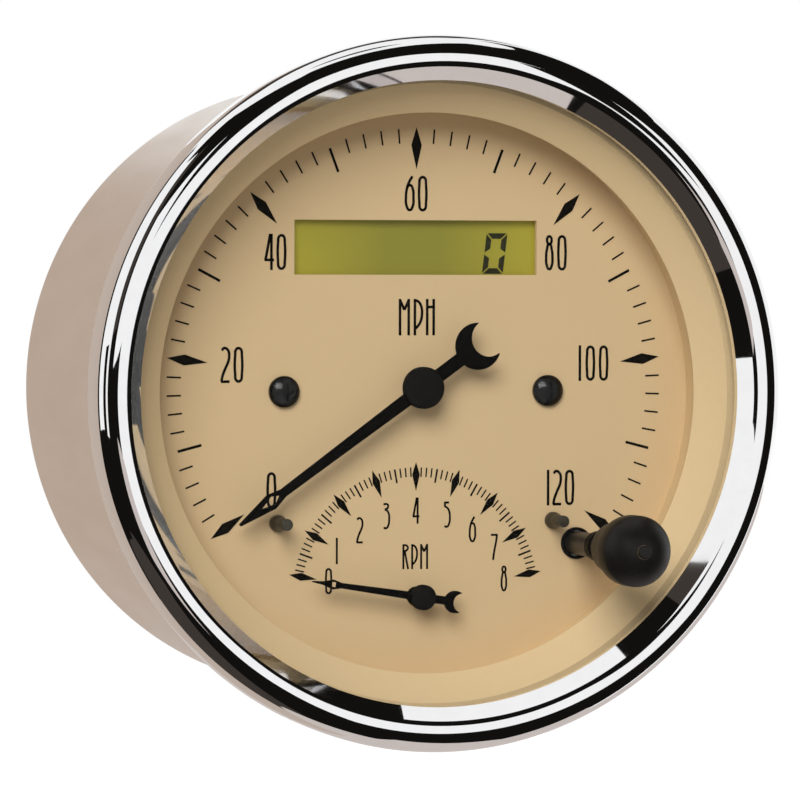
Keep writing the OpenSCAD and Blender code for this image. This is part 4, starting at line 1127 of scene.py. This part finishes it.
class MakeBackFittings(Operator):
    """Finishes the studs, nuts, washers, lamp sockets and terminals on the back"""
    bl_idname = "gauge.make_back_fittings"
    bl_label = "Make back fittings"

    def execute(self, context):
        zinc = "bright_zinc_plating"
        fit(self.studs(), "housing", "plated_steel", finish(zinc), "mounting_studs")
        for name, node, edge, slot, look in (
                ("jam_nuts", "stud_nuts", 0.35 * MM, "plated_steel", zinc),
                ("flat_washers", "stud_washers", 0.12 * MM, "plated_steel", zinc),
                ("twist_sockets", "lamp_sockets", 0.3 * MM, "black_plastic", "moulded_socket_nylon"),
                ("terminal_block", "terminal_base", 0.3 * MM, "brown_plastic", "moulded_phenolic"),
                ("spade_blades", "spade_terminals", 0.15 * MM, "brass", "stamped_brass")):
            fit(softened(name, node, edge), "housing", slot, finish(look), node)
        return {"FINISHED"}

    def studs(self):
        """Two threaded studs with a chamfered end and a stouter root."""
        root, spots = pair("mounting_studs")
        root_step, root_ease, root_past = 0.5 * MM, 0.2 * MM, 0.8 * MM
        pitch, depth = 0.8 * MM, 0.32 * MM
        groove, crest, crest_end = 0.12 * pitch, 0.45 * pitch, 0.6 * pitch
        plain, taper_l, taper_w = 0.9 * MM, 0.6 * MM, 0.5 * MM
        crest_r = root - root_step
        groove_r = crest_r - depth
        inner_end, outer_end = front("mounting_studs"), back("mounting_studs")
        z = back("stud_nuts") - root_past
        outline = [(0, inner_end), (root, inner_end), (root, z + root_ease), (root - root_ease, z)]
        while z - pitch > outer_end + plain:
            outline += [(groove_r, z - groove), (crest_r, z - crest), (crest_r, z - crest_end)]
            z -= pitch
        outline += [(groove_r, z - groove), (groove_r, outer_end + taper_l)]
        outline += [(groove_r - taper_w, outer_end), (0, outer_end)]
        return joined("threaded_studs", [turned("stud", outline, spot, SMALL_STEPS) for spot in spots])


class FinishInside(Operator):
    """Gives every inner piece its finish"""
    bl_idname = "gauge.finish_inside"
    bl_label = "Finish inside"

    def execute(self, context):
        groups = {
            "nitrile_gasket": ("lens_gasket",),
            "ground_steel": ("speedo_spindle", "tach_spindle"),
            "sintered_ferrite": ("speedo_rotor_magnet", "tach_rotor_magnet"),
            "moulded_nylon": ("speedo_bobbin_front", "speedo_bobbin_rear", "tach_bobbin_front",
                              "tach_bobbin_rear", "lcd_backlight", "reset_plunger"),
            "enamelled_copper": ("speedo_coils", "tach_coils"),
            "lacquered_board": ("display_board", "power_board"),
            "moulded_epoxy": ("logic_chip", "driver_chip"),
            "sleeved_can": ("capacitors",),
            "layered_rubber": ("lcd_contact_strips",),
            "blown_glass": ("lamp_bulbs",),
            "moulded_socket_nylon": ("lcd_frame", "reset_switch", "link_header"),
            "bright_zinc_plating": ("speedo_shield_can", "tach_shield_can", "reset_clip", "reset_spring"),
            "turned_brass": ("dial_pillars", "board_pillars", "rear_pillars"),
        }
        for name, nodes in groups.items():
            for node in nodes:
                dress_node(node, finish(name))
        return {"FINISHED"}


class GaugePanel(Panel):
    """Lists the steps that build the gauge"""
    bl_idname = "VIEW3D_PT_gauge"
    bl_label = "In-dash speedometer"
    bl_space_type = "VIEW_3D"
    bl_region_type = "UI"
    bl_category = "Gauge"

    def draw(self, context):
        for step in STEPS:
            self.layout.operator(step.bl_idname)
        for name in SETTINGS:
            group = getattr(context.scene, name)
            for field in group.__annotations__:
                self.layout.prop(group, field)


STEPS = (MakeStage, MakeBezel, MakeCase, MakeLens, MakeShroud, PrintDial, MakeDisplay, MakePointers,
         MakeButton, MakeDialFittings, MakeBackFittings, FinishInside)
SETTINGS = {"gauge_stage": StageSettings, "gauge_bezel": BezelSizes, "gauge_case": CaseSizes,
            "gauge_print": DialPrint, "gauge_colours": FinishColours}


def register():
    """Registers the settings, the steps and the panel."""
    for name, group in SETTINGS.items():
        bpy.utils.register_class(group)
        setattr(bpy.types.Scene, name, bpy.props.PointerProperty(type=group))
    for step in STEPS:
        bpy.utils.register_class(step)
    bpy.utils.register_class(GaugePanel)


def unregister():
    """Takes out what register put in."""
    bpy.utils.unregister_class(GaugePanel)
    for step in reversed(STEPS):
        bpy.utils.unregister_class(step)
    for name, group in SETTINGS.items():
        delattr(bpy.types.Scene, name)
        bpy.utils.unregister_class(group)


def main():
    """Builds the gauge round the frame."""
    register()
    for step in STEPS:
        family, action = step.bl_idname.split(".")
        getattr(getattr(bpy.ops, family), action)()


if __name__ == "__main__":
    main()
